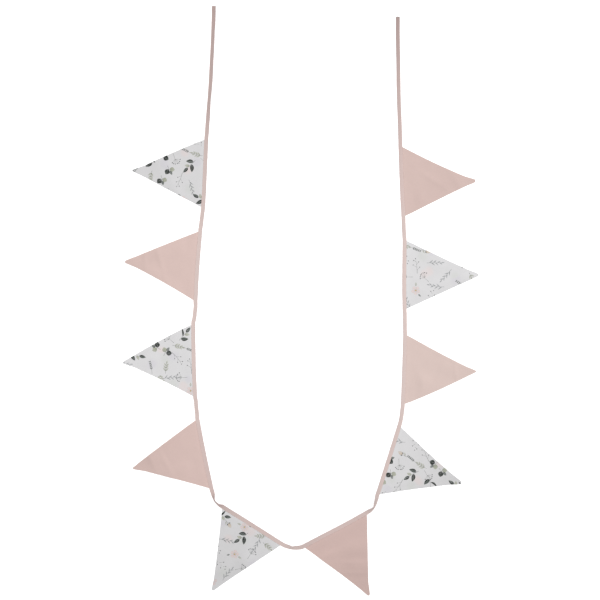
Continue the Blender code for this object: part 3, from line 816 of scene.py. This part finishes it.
def willow(shapes, pick):
    """A long pale branch of single strokes to either side."""
    length, curve = 36.0, pick.uniform(-9.0, 9.0)
    arc_stem(shapes, length, curve, (0.85, 0.45), ink="mist")
    for number in range(6):
        share = 0.16 + 0.14 * number
        sign = 1 if number % 2 else -1
        at, way = arc_at(length, curve, share)
        way += sign * (0.62 + pick.uniform(-0.12, 0.12))
        leaf(shapes, at + along(way) * 0.8, way, 11.0 * (1.1 - 0.4 * share), 2.5, "mist",
             bend=-0.9 * sign, steps=9, strength=(0.95, 0.8))
    at, way = arc_at(length, curve, 1.0)
    leaf(shapes, at + along(way) * 0.3, way, 8.5, 2.3, "mist", steps=9)


def grain(shapes, pick):
    """A slender stalk with small grains in open pairs."""
    length, curve = 30.0, pick.uniform(-6.0, 6.0)
    arc_stem(shapes, length, curve, (0.75, 0.45))
    for number in range(5):
        at, way = arc_at(length, curve, 0.36 + 0.15 * number)
        for sign in (1, -1):
            turn = way + sign * 0.5
            leaf(shapes, at + along(turn) * 1.0, turn, 5.6 - 0.4 * number, 2.2, "slate", steps=9,
                 strength=(0.9, 0.7))


def twig(shapes, pick):
    """A thin forking branch whose side twigs end in dark dots."""
    length, curve = 36.0, pick.uniform(-8.0, 8.0)
    arc_stem(shapes, length, curve, (0.95, 0.5))
    at, way = arc_at(length, curve, 1.0)
    dot(shapes, at + along(way) * 1.2, 1.15, "berry")
    for share, sign, reach in ((0.22, 1, 9.0), (0.42, -1, 10.0), (0.6, 1, 7.5), (0.8, -1, 6.0)):
        at, way = arc_at(length, curve, share)
        way += sign * (0.7 + pick.uniform(-0.12, 0.12))
        side = np.stack([at + along(way + 0.012 * sign * step) * step for step in (0.6, reach / 2, reach)])
        stem(shapes, side, 0.62, 0.45)
        dot(shapes, side[-1] + along(way) * 1.3, 1.2, "berry")


def seed_head(shapes, pick):
    """Fine rays fanned from one stalk, each with a round seed."""
    arc_stem(shapes, 14.0, pick.uniform(-2.0, 2.0), (0.8, 0.6))
    for number in range(7):
        turn = -1.05 + 0.35 * number + pick.uniform(-0.05, 0.05)
        reach = 9.5 + 2.0 * math.cos(turn) + pick.uniform(-0.8, 0.8)
        start = np.array((14.4, 0.0))
        side = np.stack([start + along(turn) * step for step in (0.7, reach / 2, reach)])
        stem(shapes, side, 0.5, 0.42)
        dot(shapes, side[-1] + along(turn) * 1.5, 1.35, "berry")


def blossom(shapes, pick):
    """A pale five-petalled blossom with an ochre middle and two leaves."""
    start = pick.uniform(0.0, 1.2)
    for number in range(5):
        turn = start + 2 * math.pi * number / 5
        leaf(shapes, along(turn) * 2.9, turn, 8.6, 8.2, "petal", belly=1.2, steps=13,
             strength=(0.95, 0.75), fade=0.25)
    dot(shapes, (0.0, 0.0), 2.3, "ochre", sides=14)
    for number in range(5):
        turn = start + 2 * math.pi * (number + 0.5) / 5
        dot(shapes, along(turn) * 3.4, 0.5, "berry", sides=7)
    leaf(shapes, along(start + 0.62) * 11.0, start + 0.62, 9.6, 4.4, "sage", steps=9, fade=0.3)
    leaf(shapes, along(start + 3.14) * 12.0, start + 2.9, 8.4, 3.8, "slate", steps=9, fade=0.3)


def bud(shapes, pick):
    """A tan bud in two dark sepals on a stem."""
    arc_stem(shapes, 12.0, 1.2, (0.85, 0.7), steps=6)
    leaf(shapes, (12.4, 1.2), 0.15, 13.0, 8.2, "tan", belly=0.75, steps=13, strength=(0.95, 0.7), fade=0.3)
    for sign in (1, -1):
        leaf(shapes, (11.4, 1.1 + sign * 0.9), 0.1 + sign * 0.95, 6.0, 2.4, "slate", steps=8)
    leaf(shapes, (4.6, 0.9), 0.9, 8.8, 3.4, "sage", steps=9, fade=0.2)


def olive(shapes, pick):
    """A sage stem with open pairs of slim leaves."""
    length, curve = 24.0, pick.uniform(-5.0, 5.0)
    arc_stem(shapes, length, curve, (0.8, 0.5))
    for number in range(3):
        at, way = arc_at(length, curve, 0.25 + 0.27 * number)
        for sign in (1, -1):
            turn = way + sign * (0.72 + pick.uniform(-0.1, 0.1))
            leaf(shapes, at + along(turn) * 0.9, turn, 10.0 - 1.2 * number, 3.6, "sage",
                 bend=-0.5 * sign, steps=9, fade=0.15)
    at, way = arc_at(length, curve, 1.0)
    leaf(shapes, at + along(way) * 0.3, way, 8.0, 3.2, "sage", steps=9)


REPEAT = (228.0, 214.0)          # the print's repeat in millimetres
MOTIFS = (                       # drawing, how many in a repeat, and the ground it needs around its middle
    (laurel, 5, 22.0), (willow, 5, 20.0), (twig, 4, 20.0), (blossom, 3, 17.0), (seed_head, 4, 16.0),
    (round_pair, 5, 17.0), (grain, 4, 16.0), (olive, 4, 15.0), (bud, 3, 14.0),
)
TRIALS = 160


def repeat_layout():
    """The repeat's motifs as (drawing, place, turn, seed), each where the ones before leave most ground."""
    pick = np.random.default_rng(29)
    size = np.array(REPEAT)
    placed = []
    rounds = max(number for _, number, _ in MOTIFS)
    order = [(kind, room) for turn in range(rounds) for kind, number, room in MOTIFS if turn < number]
    for kind, room in order:
        spots = pick.uniform((0.0, 0.0), size, (TRIALS, 2))
        clear = np.full(TRIALS, size.max())
        for _, other, _, _, other_room in placed:
            gap = np.abs(spots - other)
            gap = np.minimum(gap, size - gap)
            clear = np.minimum(clear, np.linalg.norm(gap, axis=1) - room - other_room)
        placed.append((kind, spots[np.argmax(clear)], pick.uniform(0, 2 * math.pi),
                       int(pick.integers(1 << 30)), room))
    return [entry[:4] for entry in placed]


LAYOUT = repeat_layout()
# Where each printed pennant's two faces were cut from the repeat: shift in millimetres, turn in degrees
CUTS = {
    "pennant_01": ((12.0, 30.0, 0.0), (150.0, 90.0, 180.0)),
    "pennant_03": ((96.0, 142.0, 180.0), (20.0, 60.0, 0.0)),
    "pennant_05": ((170.0, 64.0, 0.0), (70.0, 10.0, 180.0)),
    "pennant_07": ((48.0, 110.0, 180.0), (110.0, 160.0, 0.0)),
    "pennant_09": ((130.0, 8.0, 0.0), (200.0, 120.0, 180.0)),
}
MOTIF_REACH = 30.0


def print_shapes(cloth, cut):
    """The inked shapes that fall on one face of a pennant, in metres of its own plan."""
    width, drop = cloth.pennant.width, cloth.pennant.drop
    angle = math.radians(cut[2])
    middle = np.array((width / 2, drop / 2))
    shapes = []
    for kind, place, turn, seed in LAYOUT:
        drawn = []
        kind(drawn, np.random.default_rng(seed))
        body = np.concatenate([shape.points for shape in drawn])
        pivot = (body.max(axis=0) + body.min(axis=0)) / 2
        for column in range(-3, 4):
            for row in range(-3, 4):
                spot = place + np.array((column * REPEAT[0], row * REPEAT[1])) + np.array(cut[:2])
                spot = turned(spot - middle, middle, angle)
                if not (-MOTIF_REACH < spot[0] < width + MOTIF_REACH and -MOTIF_REACH < spot[1] < drop + MOTIF_REACH):
                    continue
                for shape in drawn:
                    shapes.append(shape._replace(
                        points=turned(shape.points - pivot, spot, turn + angle) * MM,
                        inner=None if shape.inner is None
                        else turned(shape.inner - pivot, spot, turn + angle) * MM,
                        origin=turned(shape.origin - pivot, spot, turn + angle) * MM,
                        axis=turned(shape.axis, (0.0, 0.0), turn + angle), length=shape.length * MM))
    return shapes


def wash_field(cloth, points):
    """Faint washes of colour: (strength, colour) at each point."""
    pick = np.random.default_rng(int(cloth.phase) + 70)
    colour = np.zeros((len(points), 3))
    strength = np.zeros(len(points))
    for number in range(7):
        centre = pick.uniform((0.12, 0.1), (0.88, 0.75)) * (cloth.pennant.width * MM, cloth.pennant.drop * MM)
        reach = pick.uniform(8.0, 15.0, 2) * MM
        turn = pick.uniform(0, math.pi)
        local = turned(points - centre, (0.0, 0.0), turn) / reach
        field = 0.55 * np.exp(-np.sum(local ** 2, axis=1) ** 2)
        tone = np.array(WASHES[number % len(WASHES)])
        colour = np.where((field > strength)[:, None], tone, colour)
        strength = np.maximum(strength, field)
    return strength, colour


def inside_outline(points, outline):
    """True for the points inside a closed outline."""
    x, y = points[:, 0], points[:, 1]
    inside = np.zeros(len(points), bool)
    for (ax, ay), (bx, by) in zip(outline, np.roll(outline, -1, axis=0)):
        crosses = (ay > y) != (by > y)
        if ay != by:
            inside ^= crosses & (x < (bx - ax) * (y - ay) / (by - ay) + ax)
    return inside


def signed_area(points):
    following = np.roll(points, -1, axis=0)
    return np.sum(points[:, 0] * following[:, 1] - following[:, 0] * points[:, 1]) / 2


def plan_mesh(cloth, ring, shapes):
    """Triangles over the plan inside the ring, with every inked outline among their edges."""
    pieces = []
    for offset in RINGS:
        row = inset(cloth.outline, offset * MM)[cloth.top_count:]
        row = row[:: 1 if offset < 3 else 2]
        row = row[edge_distance(row, cloth.sewn) > 0.92 * offset * MM]
        pieces.append(row)
    width, drop = cloth.pennant.width * MM, cloth.pennant.drop * MM
    rows = np.arange(TUCK + 1.6 * MM, drop, GRID_STEP * 0.866)
    for number, down in enumerate(rows):
        across = np.arange(0.0, width, GRID_STEP) + (number % 2) * GRID_STEP / 2
        pieces.append(np.stack((across, np.full(len(across), down)), axis=-1))
    free = np.concatenate(pieces[:len(RINGS)] + [
        row[(edge_distance(row, cloth.sewn) > (RINGS[-1] + 1.2) * MM)] for row in
        [np.concatenate(pieces[len(RINGS):])]])
    free = free[inside_outline(free, inset(ring, 0.4 * MM))]
    vertices = [ring]
    pooled = [np.zeros(len(ring))]
    polygons = [list(range(len(ring)))]
    if signed_area(ring) < 0:
        polygons[0].reverse()
    marks, boxes = [], []
    tree = kdtree.KDTree(len(ring))
    for index, point in enumerate(ring):
        tree.insert((*point, 0.0), index)
    tree.balance()
    count = len(ring)
    near_ring, deep_ring = inset(ring, 0.12 * MM), inset(ring, 0.3 * MM)
    low, high = ring.min(axis=0), ring.max(axis=0)
    for number, shape in enumerate(shapes):
        if (shape.points.max(axis=0) < low).any() or (shape.points.min(axis=0) > high).any():
            continue
        within = inside_outline(shape.points, near_ring)
        if within.sum() < 2:
            continue
        indices, placed, kept = [], [], []
        for point, good in zip(shape.points, within):
            if good:
                indices.append(count + len(kept))
                placed.append(point)
                kept.append(point)
                continue
            index = tree.find((*point, 0.0))[1]
            if not indices or indices[-1] != index:
                indices.append(index)
                placed.append(ring[index])
        if indices[0] == indices[-1]:
            indices.pop()
            placed.pop()
        if len(set(indices)) < 3 or len(set(indices)) != len(indices):
            continue
        vertices.append(np.array(kept))
        pooled.append(np.ones(len(kept)))
        count += len(kept)
        placed = np.array(placed)
        polygons.append(indices if signed_area(placed) > 0 else indices[::-1])
        marks.append(number)
        boxes.append((placed.min(axis=0), placed.max(axis=0)))
        if shape.inner is not None:
            inner = shape.inner[inside_outline(shape.inner, deep_ring)]
            vertices.append(inner)
            pooled.append(np.zeros(len(inner)))
            count += len(inner)
    drawn = np.concatenate(vertices)
    if shapes:
        near = kdtree.KDTree(len(drawn))
        for index, point in enumerate(drawn):
            near.insert((*point, 0.0), index)
        near.balance()
        free = np.array([point for point in free if near.find((*point, 0.0))[2] > 0.45 * MM])
    points = np.concatenate((drawn, free))
    pool = np.concatenate((np.concatenate(pooled), np.zeros(len(free))))
    # In millimetres, where the triangulation's own tolerance is well below any feature
    out, _, faces, origins, _, owners = delaunay_2d_cdt(
        [Vector(point / MM) for point in points], [], polygons, 0, 1e-6, True)
    out = np.array([(point.x, point.y) for point in out]) * MM
    new_pool = np.ones(len(out))
    where = {}
    for index, source in enumerate(origins):
        if source:
            new_pool[index] = min(pool[item] for item in source)
            for item in source:
                where[item] = index
    kept_faces, owned = [], []
    for face, owner in zip(faces, owners):
        if 0 not in owner:
            continue
        kept_faces.append(face)
        middle = out[face].mean(axis=0)
        inks = [index for index in owner
                if index and (middle >= boxes[index - 1][0]).all() and (middle <= boxes[index - 1][1]).all()]
        owned.append(marks[max(inks) - 1] if inks else -1)
    ring_at = [where[index] for index in range(len(ring))]
    return out, kept_faces, np.array(owned), new_pool, ring_at


def ink_corners(cloth, shapes, corners, owned, pooled):
    """Colour and strength of the ink at each face corner: corners is (faces, 3, 2)."""
    count = len(corners)
    ink = np.zeros((count, 3, 4))
    flat = corners.reshape(-1, 2)
    strength, colour = wash_field(cloth, flat)
    ink[..., :3] = colour.reshape(count, 3, 3)
    ink[..., 3] = strength.reshape(count, 3)
    has = owned >= 0
    if has.any():
        chosen = [shapes[number] for number in owned[has]]
        origin = np.array([shape.origin for shape in chosen])[:, None, :]
        axis = np.array([shape.axis for shape in chosen])[:, None, :]
        length = np.array([shape.length for shape in chosen])[:, None]
        share = np.clip(np.sum((corners[has] - origin) * axis, axis=2) / length, 0.0, 1.0)
        base = np.array([shape.base for shape in chosen])[:, None, :]
        tip = np.array([shape.tip for shape in chosen])[:, None, :]
        dense = np.array([shape.strength for shape in chosen])
        level = dense[:, :1] + (dense[:, 1:] - dense[:, :1]) * share
        pool = pooled[has]
        tone = base + (tip - base) * share[..., None]
        tone = tone * (1.0 - 0.22 * pool[..., None])
        fade = np.array([shape.fade for shape in chosen])[:, None]
        ink[has, :, :3] = tone
        ink[has, :, 3] = level * (1.0 - fade * (1.0 - pool))
    return ink


# Painted light and shade on each pennant's cloth beside the others', at the binding and at the tip, and how much of
# its green and blue is left
PENNANT_PAINTED_LIGHT = {
    "pennant_01": (0.925, 0.90, 1.0),
    "pennant_02": (0.995, 0.965, 0.96),
    "pennant_03": (0.985, 1.01, 1.0),
    "pennant_04": (1.0, 0.93, 0.95),
    "pennant_05": (0.95, 0.89, 1.0),
    "pennant_06": (0.93, 0.87, 0.93),
    "pennant_07": (0.98, 0.90, 1.0),
    "pennant_08": (1.0, 0.985, 1.0),
    "pennant_09": (0.975, 0.96, 1.0),
    "pennant_10": (0.92, 0.91, 0.96),
}


def make_pennant(pennant, materials):
    cloth = Cloth(pennant)
    ring = inset(cloth.outline, RIM)
    sides = []
    for number, top in enumerate((True, False)):
        shapes = print_shapes(cloth, CUTS[pennant.name][number]) if pennant.cloth == "printed" else []
        sides.append((top, shapes, *plan_mesh(cloth, ring, shapes)))
    points, normals, inks, faces, edges, plans = [], [], [], [], [], []
    ring_ids = []
    ring_owned = []
    start = 0
    for top, shapes, plan, triangles, owned, pooled, ring_at in sides:
        low, high, edge = cloth.faces(plan)
        points.append(np.column_stack((plan, high if top else low)))
        normals.append(cloth.slopes(plan, top))
        edges.append(edge)
        plans.append(plan)
        triangles = np.array(triangles)
        a, b, c = (plan[triangles[:, index]] for index in range(3))
        area = (b[:, 0] - a[:, 0]) * (c[:, 1] - a[:, 1]) - (b[:, 1] - a[:, 1]) * (c[:, 0] - a[:, 0])
        # The plan's second axis points down, so a face seen from above turns the other way in it
        flip = (area > 0) == top
        triangles[flip] = triangles[flip][:, ::-1]
        real = np.abs(area) > 1e-13
        triangles, owned = triangles[real], owned[real]
        corners = plan[triangles]
        inks.append(ink_corners(cloth, shapes, corners, owned, pooled[triangles]))
        faces += (triangles + start).tolist()
        ring_ids.append(np.array(ring_at) + start)
        lookup = {}
        for face, owner in zip(triangles.tolist(), owned):
            for first, second in zip(face, face[1:] + face[:1]):
                lookup[frozenset((first, second))] = owner
        ring_owned.append([lookup.get(frozenset((first, second)), -1)
                           for first, second in zip(ring_at, ring_at[1:] + ring_at[:1])])
        start += len(plan)
    low, high, edge = cloth.faces(ring)
    outward_way = cloth.outline - ring
    outward_way /= np.linalg.norm(outward_way, axis=1)[:, None]
    loops = [ring_ids[0]]
    for degrees in RIM_ANGLES:
        angle = math.radians(degrees)
        plan = ring + (cloth.outline - ring) * math.cos(angle)
        middle, half = (low + high) / 2, (high - low) / 2
        points.append(np.column_stack((plan, middle + half * math.sin(angle))))
        normals.append(np.column_stack((outward_way * math.cos(angle), np.full(len(ring), math.sin(angle)))))
        edges.append(RIM * (1 - math.cos(angle)) * np.ones(len(ring)))
        plans.append(plan)
        loops.append(np.arange(start, start + len(ring)))
        start += len(ring)
    loops.append(ring_ids[1])
    all_plan = np.concatenate(plans)
    count = len(ring)
    strip, strip_ink = [], []
    for level, (upper, lower) in enumerate(zip(loops, loops[1:])):
        side = 0 if level < 3 else 1
        shapes, owners = sides[side][1], ring_owned[side]
        for index in range(count):
            following = (index + 1) % count
            quad = (upper[index], upper[following], lower[following], lower[index])
            strip.append(quad)
            strip_ink.append(owners[index])
    corners = all_plan[np.array(strip)]
    quad_ink = np.zeros((len(strip), 4, 4))
    owned = np.array(strip_ink)
    half_count = 3 * count
    for side, part in ((0, slice(0, half_count)), (1, slice(half_count, len(strip)))):
        for piece in (slice(0, 3), slice(1, 4)):
            quad_ink[part, piece] = ink_corners(cloth, sides[side][1], corners[part][:, piece], owned[part],
                                                np.ones((len(corners[part]), 3)))
    faces += [tuple(int(index) for index in quad) for quad in strip]
    # Own plan to the world: across runs along the heading, down runs outwards
    heading = math.radians(pennant.heading)
    turn = np.array((along(heading), outward(heading)))
    local = np.concatenate(points)
    normal = np.concatenate(normals)
    world = np.column_stack((local[:, :2] @ turn + CORNERS[pennant.name], local[:, 2]))
    world_normal = np.column_stack((normal[:, :2] @ turn, normal[:, 2]))
    name = pennant.name + "_cloth"
    mesh = make_mesh(name, world, faces)
    mesh.normals_split_custom_set_from_vertices(world_normal.tolist())
    point_vectors(mesh, "cloth", np.column_stack((all_plan + cloth.phase * 0.31, np.zeros(len(all_plan)))))
    point_values(mesh, "edge", np.concatenate(edges))
    # Painted light and shade: lightness from the binding to the tip, then the creases' painted light and shade and
    # the painted light beside the binding
    near, far, warm = PENNANT_PAINTED_LIGHT[pennant.name]
    shade = near + (far - near) * ease(all_plan[:, 1] / (pennant.drop * MM))
    shade = shade * cloth.tone(all_plan)
    point_vectors(mesh, "shade", shade[:, None] * np.array((1.0, warm, warm)))
    if pennant.cloth == "printed":
        values = np.concatenate([ink.reshape(-1, 4) for ink in inks] + [quad_ink.reshape(-1, 4)])
        layer = mesh.color_attributes.new("ink", "FLOAT_COLOR", "CORNER")
        layer.data.foreach_set("color", values.astype(np.float32).ravel())
    made = add_object(name, mesh, materials)
    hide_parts(pennant.name)
    return made


# ---- Materials

def node(tree, kind, inputs=None, **settings):
    made = tree.nodes.new(kind)
    for key, value in settings.items():
        setattr(made, key, value)
    for key, value in (inputs or {}).items():
        if isinstance(value, bpy.types.NodeSocket):
            tree.links.new(value, made.inputs[key])
        else:
            made.inputs[key].default_value = value
    return made


def maths(tree, operation, first, second=0.0, clamp=False):
    return node(tree, "ShaderNodeMath", {0: first, 1: second}, operation=operation, use_clamp=clamp).outputs[0]


def mix(tree, factor, first, second, blend="MIX"):
    made = node(tree, "ShaderNodeMix", {"Factor": factor}, data_type="RGBA", blend_type=blend)
    for key, value in (("A", first), ("B", second)):
        socket = [item for item in made.inputs if item.name == key and item.type == "RGBA"][0]
        if isinstance(value, bpy.types.NodeSocket):
            tree.links.new(value, socket)
        else:
            socket.default_value = (*value, 1.0)
    return [item for item in made.outputs if item.type == "RGBA"][0]


def remap(tree, value, low, high, to_low, to_high):
    return node(tree, "ShaderNodeMapRange", {"Value": value, "From Min": low, "From Max": high,
                                             "To Min": to_low, "To Max": to_high}).outputs["Result"]


THREAD_PITCH = 0.42 * MM


def cloth_material(name, colour, bias=False, ink=False, shade=0.9):
    """Plain woven cotton: two sets of uneven yarns, faint cloudy tone, painted shade darkening the pennants' rims and
    the binding's fold, painted light towards the binding's open edges, and the painted light and shade of the shade
    attribute.
    """
    material = bpy.data.materials.new(name)
    material.use_nodes = True
    tree = material.node_tree
    shader = tree.nodes["Principled BSDF"]
    place = node(tree, "ShaderNodeAttribute", attribute_name="cloth").outputs["Vector"]
    if bias:
        place = node(tree, "ShaderNodeMapping", {"Vector": place, "Rotation": (0.0, 0.0, math.radians(45.0))},
                     vector_type="POINT").outputs["Vector"]
    parts = node(tree, "ShaderNodeSeparateXYZ", {"Vector": place})
    turns = 2 * math.pi / THREAD_PITCH
    warp = maths(tree, "SINE", maths(tree, "MULTIPLY", parts.outputs["X"], turns))
    weft = maths(tree, "SINE", maths(tree, "MULTIPLY", parts.outputs["Y"], turns))
    weave = maths(tree, "MULTIPLY", warp, weft)
    yarns = []
    for scale in ((240.0, 2600.0, 1.0), (2600.0, 240.0, 1.0)):
        stretched = node(tree, "ShaderNodeMapping", {"Vector": place, "Scale": scale})
        yarns.append(node(tree, "ShaderNodeTexNoise", {"Vector": stretched.outputs["Vector"], "Scale": 1.0,
                                                       "Detail": 2.0, "Roughness": 0.6}).outputs["Fac"])
    slub = maths(tree, "MULTIPLY", maths(tree, "ADD", yarns[0], yarns[1]), 0.5)
    cloudy = node(tree, "ShaderNodeTexNoise", {"Vector": place, "Scale": 34.0, "Detail": 4.0,
                                               "Roughness": 0.55}).outputs["Fac"]
    edge = node(tree, "ShaderNodeAttribute", attribute_name="edge").outputs["Fac"]
    base = mix(tree, remap(tree, slub, 0.3, 0.7, 0.0, 1.0), [shade * c for c in colour], colour)
    base = mix(tree, remap(tree, cloudy, 0.3, 0.7, 0.0, 0.3), base, [0.86 * c for c in colour])
    if bias:
        # Painted shade, darkening the binding towards its fold
        fold = remap(tree, edge, STRIP_WIDTH - 1.5 * MM, STRIP_WIDTH, 0.0, 0.75)
        base = mix(tree, fold, base, (0.74, 0.73, 0.77), blend="MULTIPLY")
    if ink:
        drawn = node(tree, "ShaderNodeAttribute", attribute_name="ink")
        grain = node(tree, "ShaderNodeTexNoise", {"Vector": place, "Scale": 260.0, "Detail": 5.0,
                                                  "Roughness": 0.65}).outputs["Fac"]
        pooled = node(tree, "ShaderNodeTexNoise", {"Vector": place, "Scale": 120.0, "Detail": 2.0}).outputs["Fac"]
        tone = mix(tree, remap(tree, grain, 0.3, 0.7, 0.0, 0.06), drawn.outputs["Color"],
                   base, blend="MIX")
        depth = maths(tree, "MULTIPLY", drawn.outputs["Alpha"], remap(tree, pooled, 0.3, 0.7, 0.9, 1.12), clamp=True)
        base = mix(tree, depth, base, tone)
    # Painted light and shade, with the cloth's tints, from the shade attribute multiply the colour
    painted_light_here = node(tree, "ShaderNodeAttribute", attribute_name="shade").outputs["Vector"]
    base = mix(tree, 1.0, base, painted_light_here, blend="MULTIPLY")
    if bias:
        # Painted light, lightening the binding towards its open edges
        rim = remap(tree, edge, 0.0, 4.0 * MM, 1.0, 0.0)
        base = mix(tree, rim, base, (1.06, 1.06, 1.06), blend="MULTIPLY")
    else:
        # Painted shade, darkening the pennants' rims
        rim = remap(tree, edge, 0.0, 1.6 * MM, 0.2, 0.0)
        base = mix(tree, rim, base, (0.8, 0.78, 0.78), blend="MULTIPLY")
    tree.links.new(base, shader.inputs["Base Color"])
    tree.links.new(remap(tree, slub, 0.3, 0.7, 0.78, 0.95), shader.inputs["Roughness"])
    shader.inputs["Sheen Weight"].default_value = 0.12
    shader.inputs["Sheen Roughness"].default_value = 0.5
    shader.inputs["Specular IOR Level"].default_value = 0.25
    height = maths(tree, "ADD", maths(tree, "MULTIPLY", weave, 0.5), slub)
    bump = node(tree, "ShaderNodeBump", {"Height": height, "Strength": 0.35, "Distance": 0.09 * MM})
    tree.links.new(bump.outputs["Normal"], shader.inputs["Normal"])
    return material


def thread_material():
    """Cotton sewing thread with its twist."""
    material = bpy.data.materials.new("sewing_thread")
    material.use_nodes = True
    tree = material.node_tree
    shader = tree.nodes["Principled BSDF"]
    place = node(tree, "ShaderNodeTexCoord").outputs["Object"]
    twist = node(tree, "ShaderNodeTexNoise", {"Vector": place, "Scale": 2400.0, "Detail": 2.0}).outputs["Fac"]
    colour = srgb(224, 203, 197)
    base = mix(tree, remap(tree, twist, 0.3, 0.7, 0.0, 1.0), [0.88 * c for c in colour], colour)
    tree.links.new(base, shader.inputs["Base Color"])
    tree.links.new(remap(tree, twist, 0.3, 0.7, 0.5, 0.75), shader.inputs["Roughness"])
    bump = node(tree, "ShaderNodeBump", {"Height": twist, "Strength": 0.4, "Distance": 0.05 * MM})
    tree.links.new(bump.outputs["Normal"], shader.inputs["Normal"])
    return material


# ---- Stage

def make_stage():
    half = 4.0
    mesh = make_mesh("floor", [(-half, -half, -0.1 * MM), (half, -half, -0.1 * MM),
                               (half, half, -0.1 * MM), (-half, half, -0.1 * MM)], [(0, 1, 2, 3)], False)
    floor = bpy.data.objects.new("floor", mesh)
    bpy.context.scene.collection.objects.link(floor)
    material = bpy.data.materials.new("floor_paper")
    material.use_nodes = True
    shader = material.node_tree.nodes["Principled BSDF"]
    shader.inputs["Base Color"].default_value = (0.95, 0.95, 0.95, 1.0)
    shader.inputs["Roughness"].default_value = 1.0
    shader.inputs["Specular IOR Level"].default_value = 0.0
    shader.inputs["Emission Color"].default_value = (1.0, 1.0, 1.0, 1.0)
    shader.inputs["Emission Strength"].default_value = 0.28
    mesh.materials.append(material)
    world = bpy.data.worlds.new("studio")
    world.use_nodes = True
    world.node_tree.nodes["Background"].inputs["Color"].default_value = (1.0, 1.0, 1.0, 1.0)
    world.node_tree.nodes["Background"].inputs["Strength"].default_value = 0.78
    bpy.context.scene.world = world
    light = bpy.data.lights.new("softbox", "AREA")
    light.shape = "RECTANGLE"
    light.size, light.size_y = 2.0, 1.8
    light.energy = 29.0
    lamp = bpy.data.objects.new("softbox", light)
    lamp.location = (0.3, 0.55, 2.2)
    aim = Vector((0.0, 0.1, 0.0)) - lamp.location
    lamp.rotation_euler = aim.to_track_quat("-Z", "Y").to_euler()
    bpy.context.scene.collection.objects.link(lamp)


def make_camera():
    data = bpy.data.cameras.new("camera")
    data.lens = 85.0
    camera = bpy.data.objects.new("camera", data)
    half_view = 0.75
    camera.location = (-0.0013, 0.0023, half_view * data.lens / (data.sensor_width / 2))
    data.clip_end = 20.0
    bpy.context.scene.collection.objects.link(camera)
    bpy.context.scene.camera = camera
    bpy.context.scene.view_settings.view_transform = "Standard"


make_camera()
make_stage()
binding = make_binding([cloth_material("binding_cotton", srgb(214, 192.5, 187.5), bias=True)])
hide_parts("binding")
stitches = [make_stitching("binding_stitches_top", 1, [thread_material()])]
stitches.append(make_stitching("binding_stitches_under", -1, [stitches[0].data.materials[0]]))
plain = cloth_material("plain_cotton", srgb(217, 196, 189))
printed = cloth_material("printed_cotton", srgb(219, 218, 219), ink=True, shade=0.94)
for item in PENNANTS:
    make_pennant(item, [plain if item.cloth == "plain" else printed])
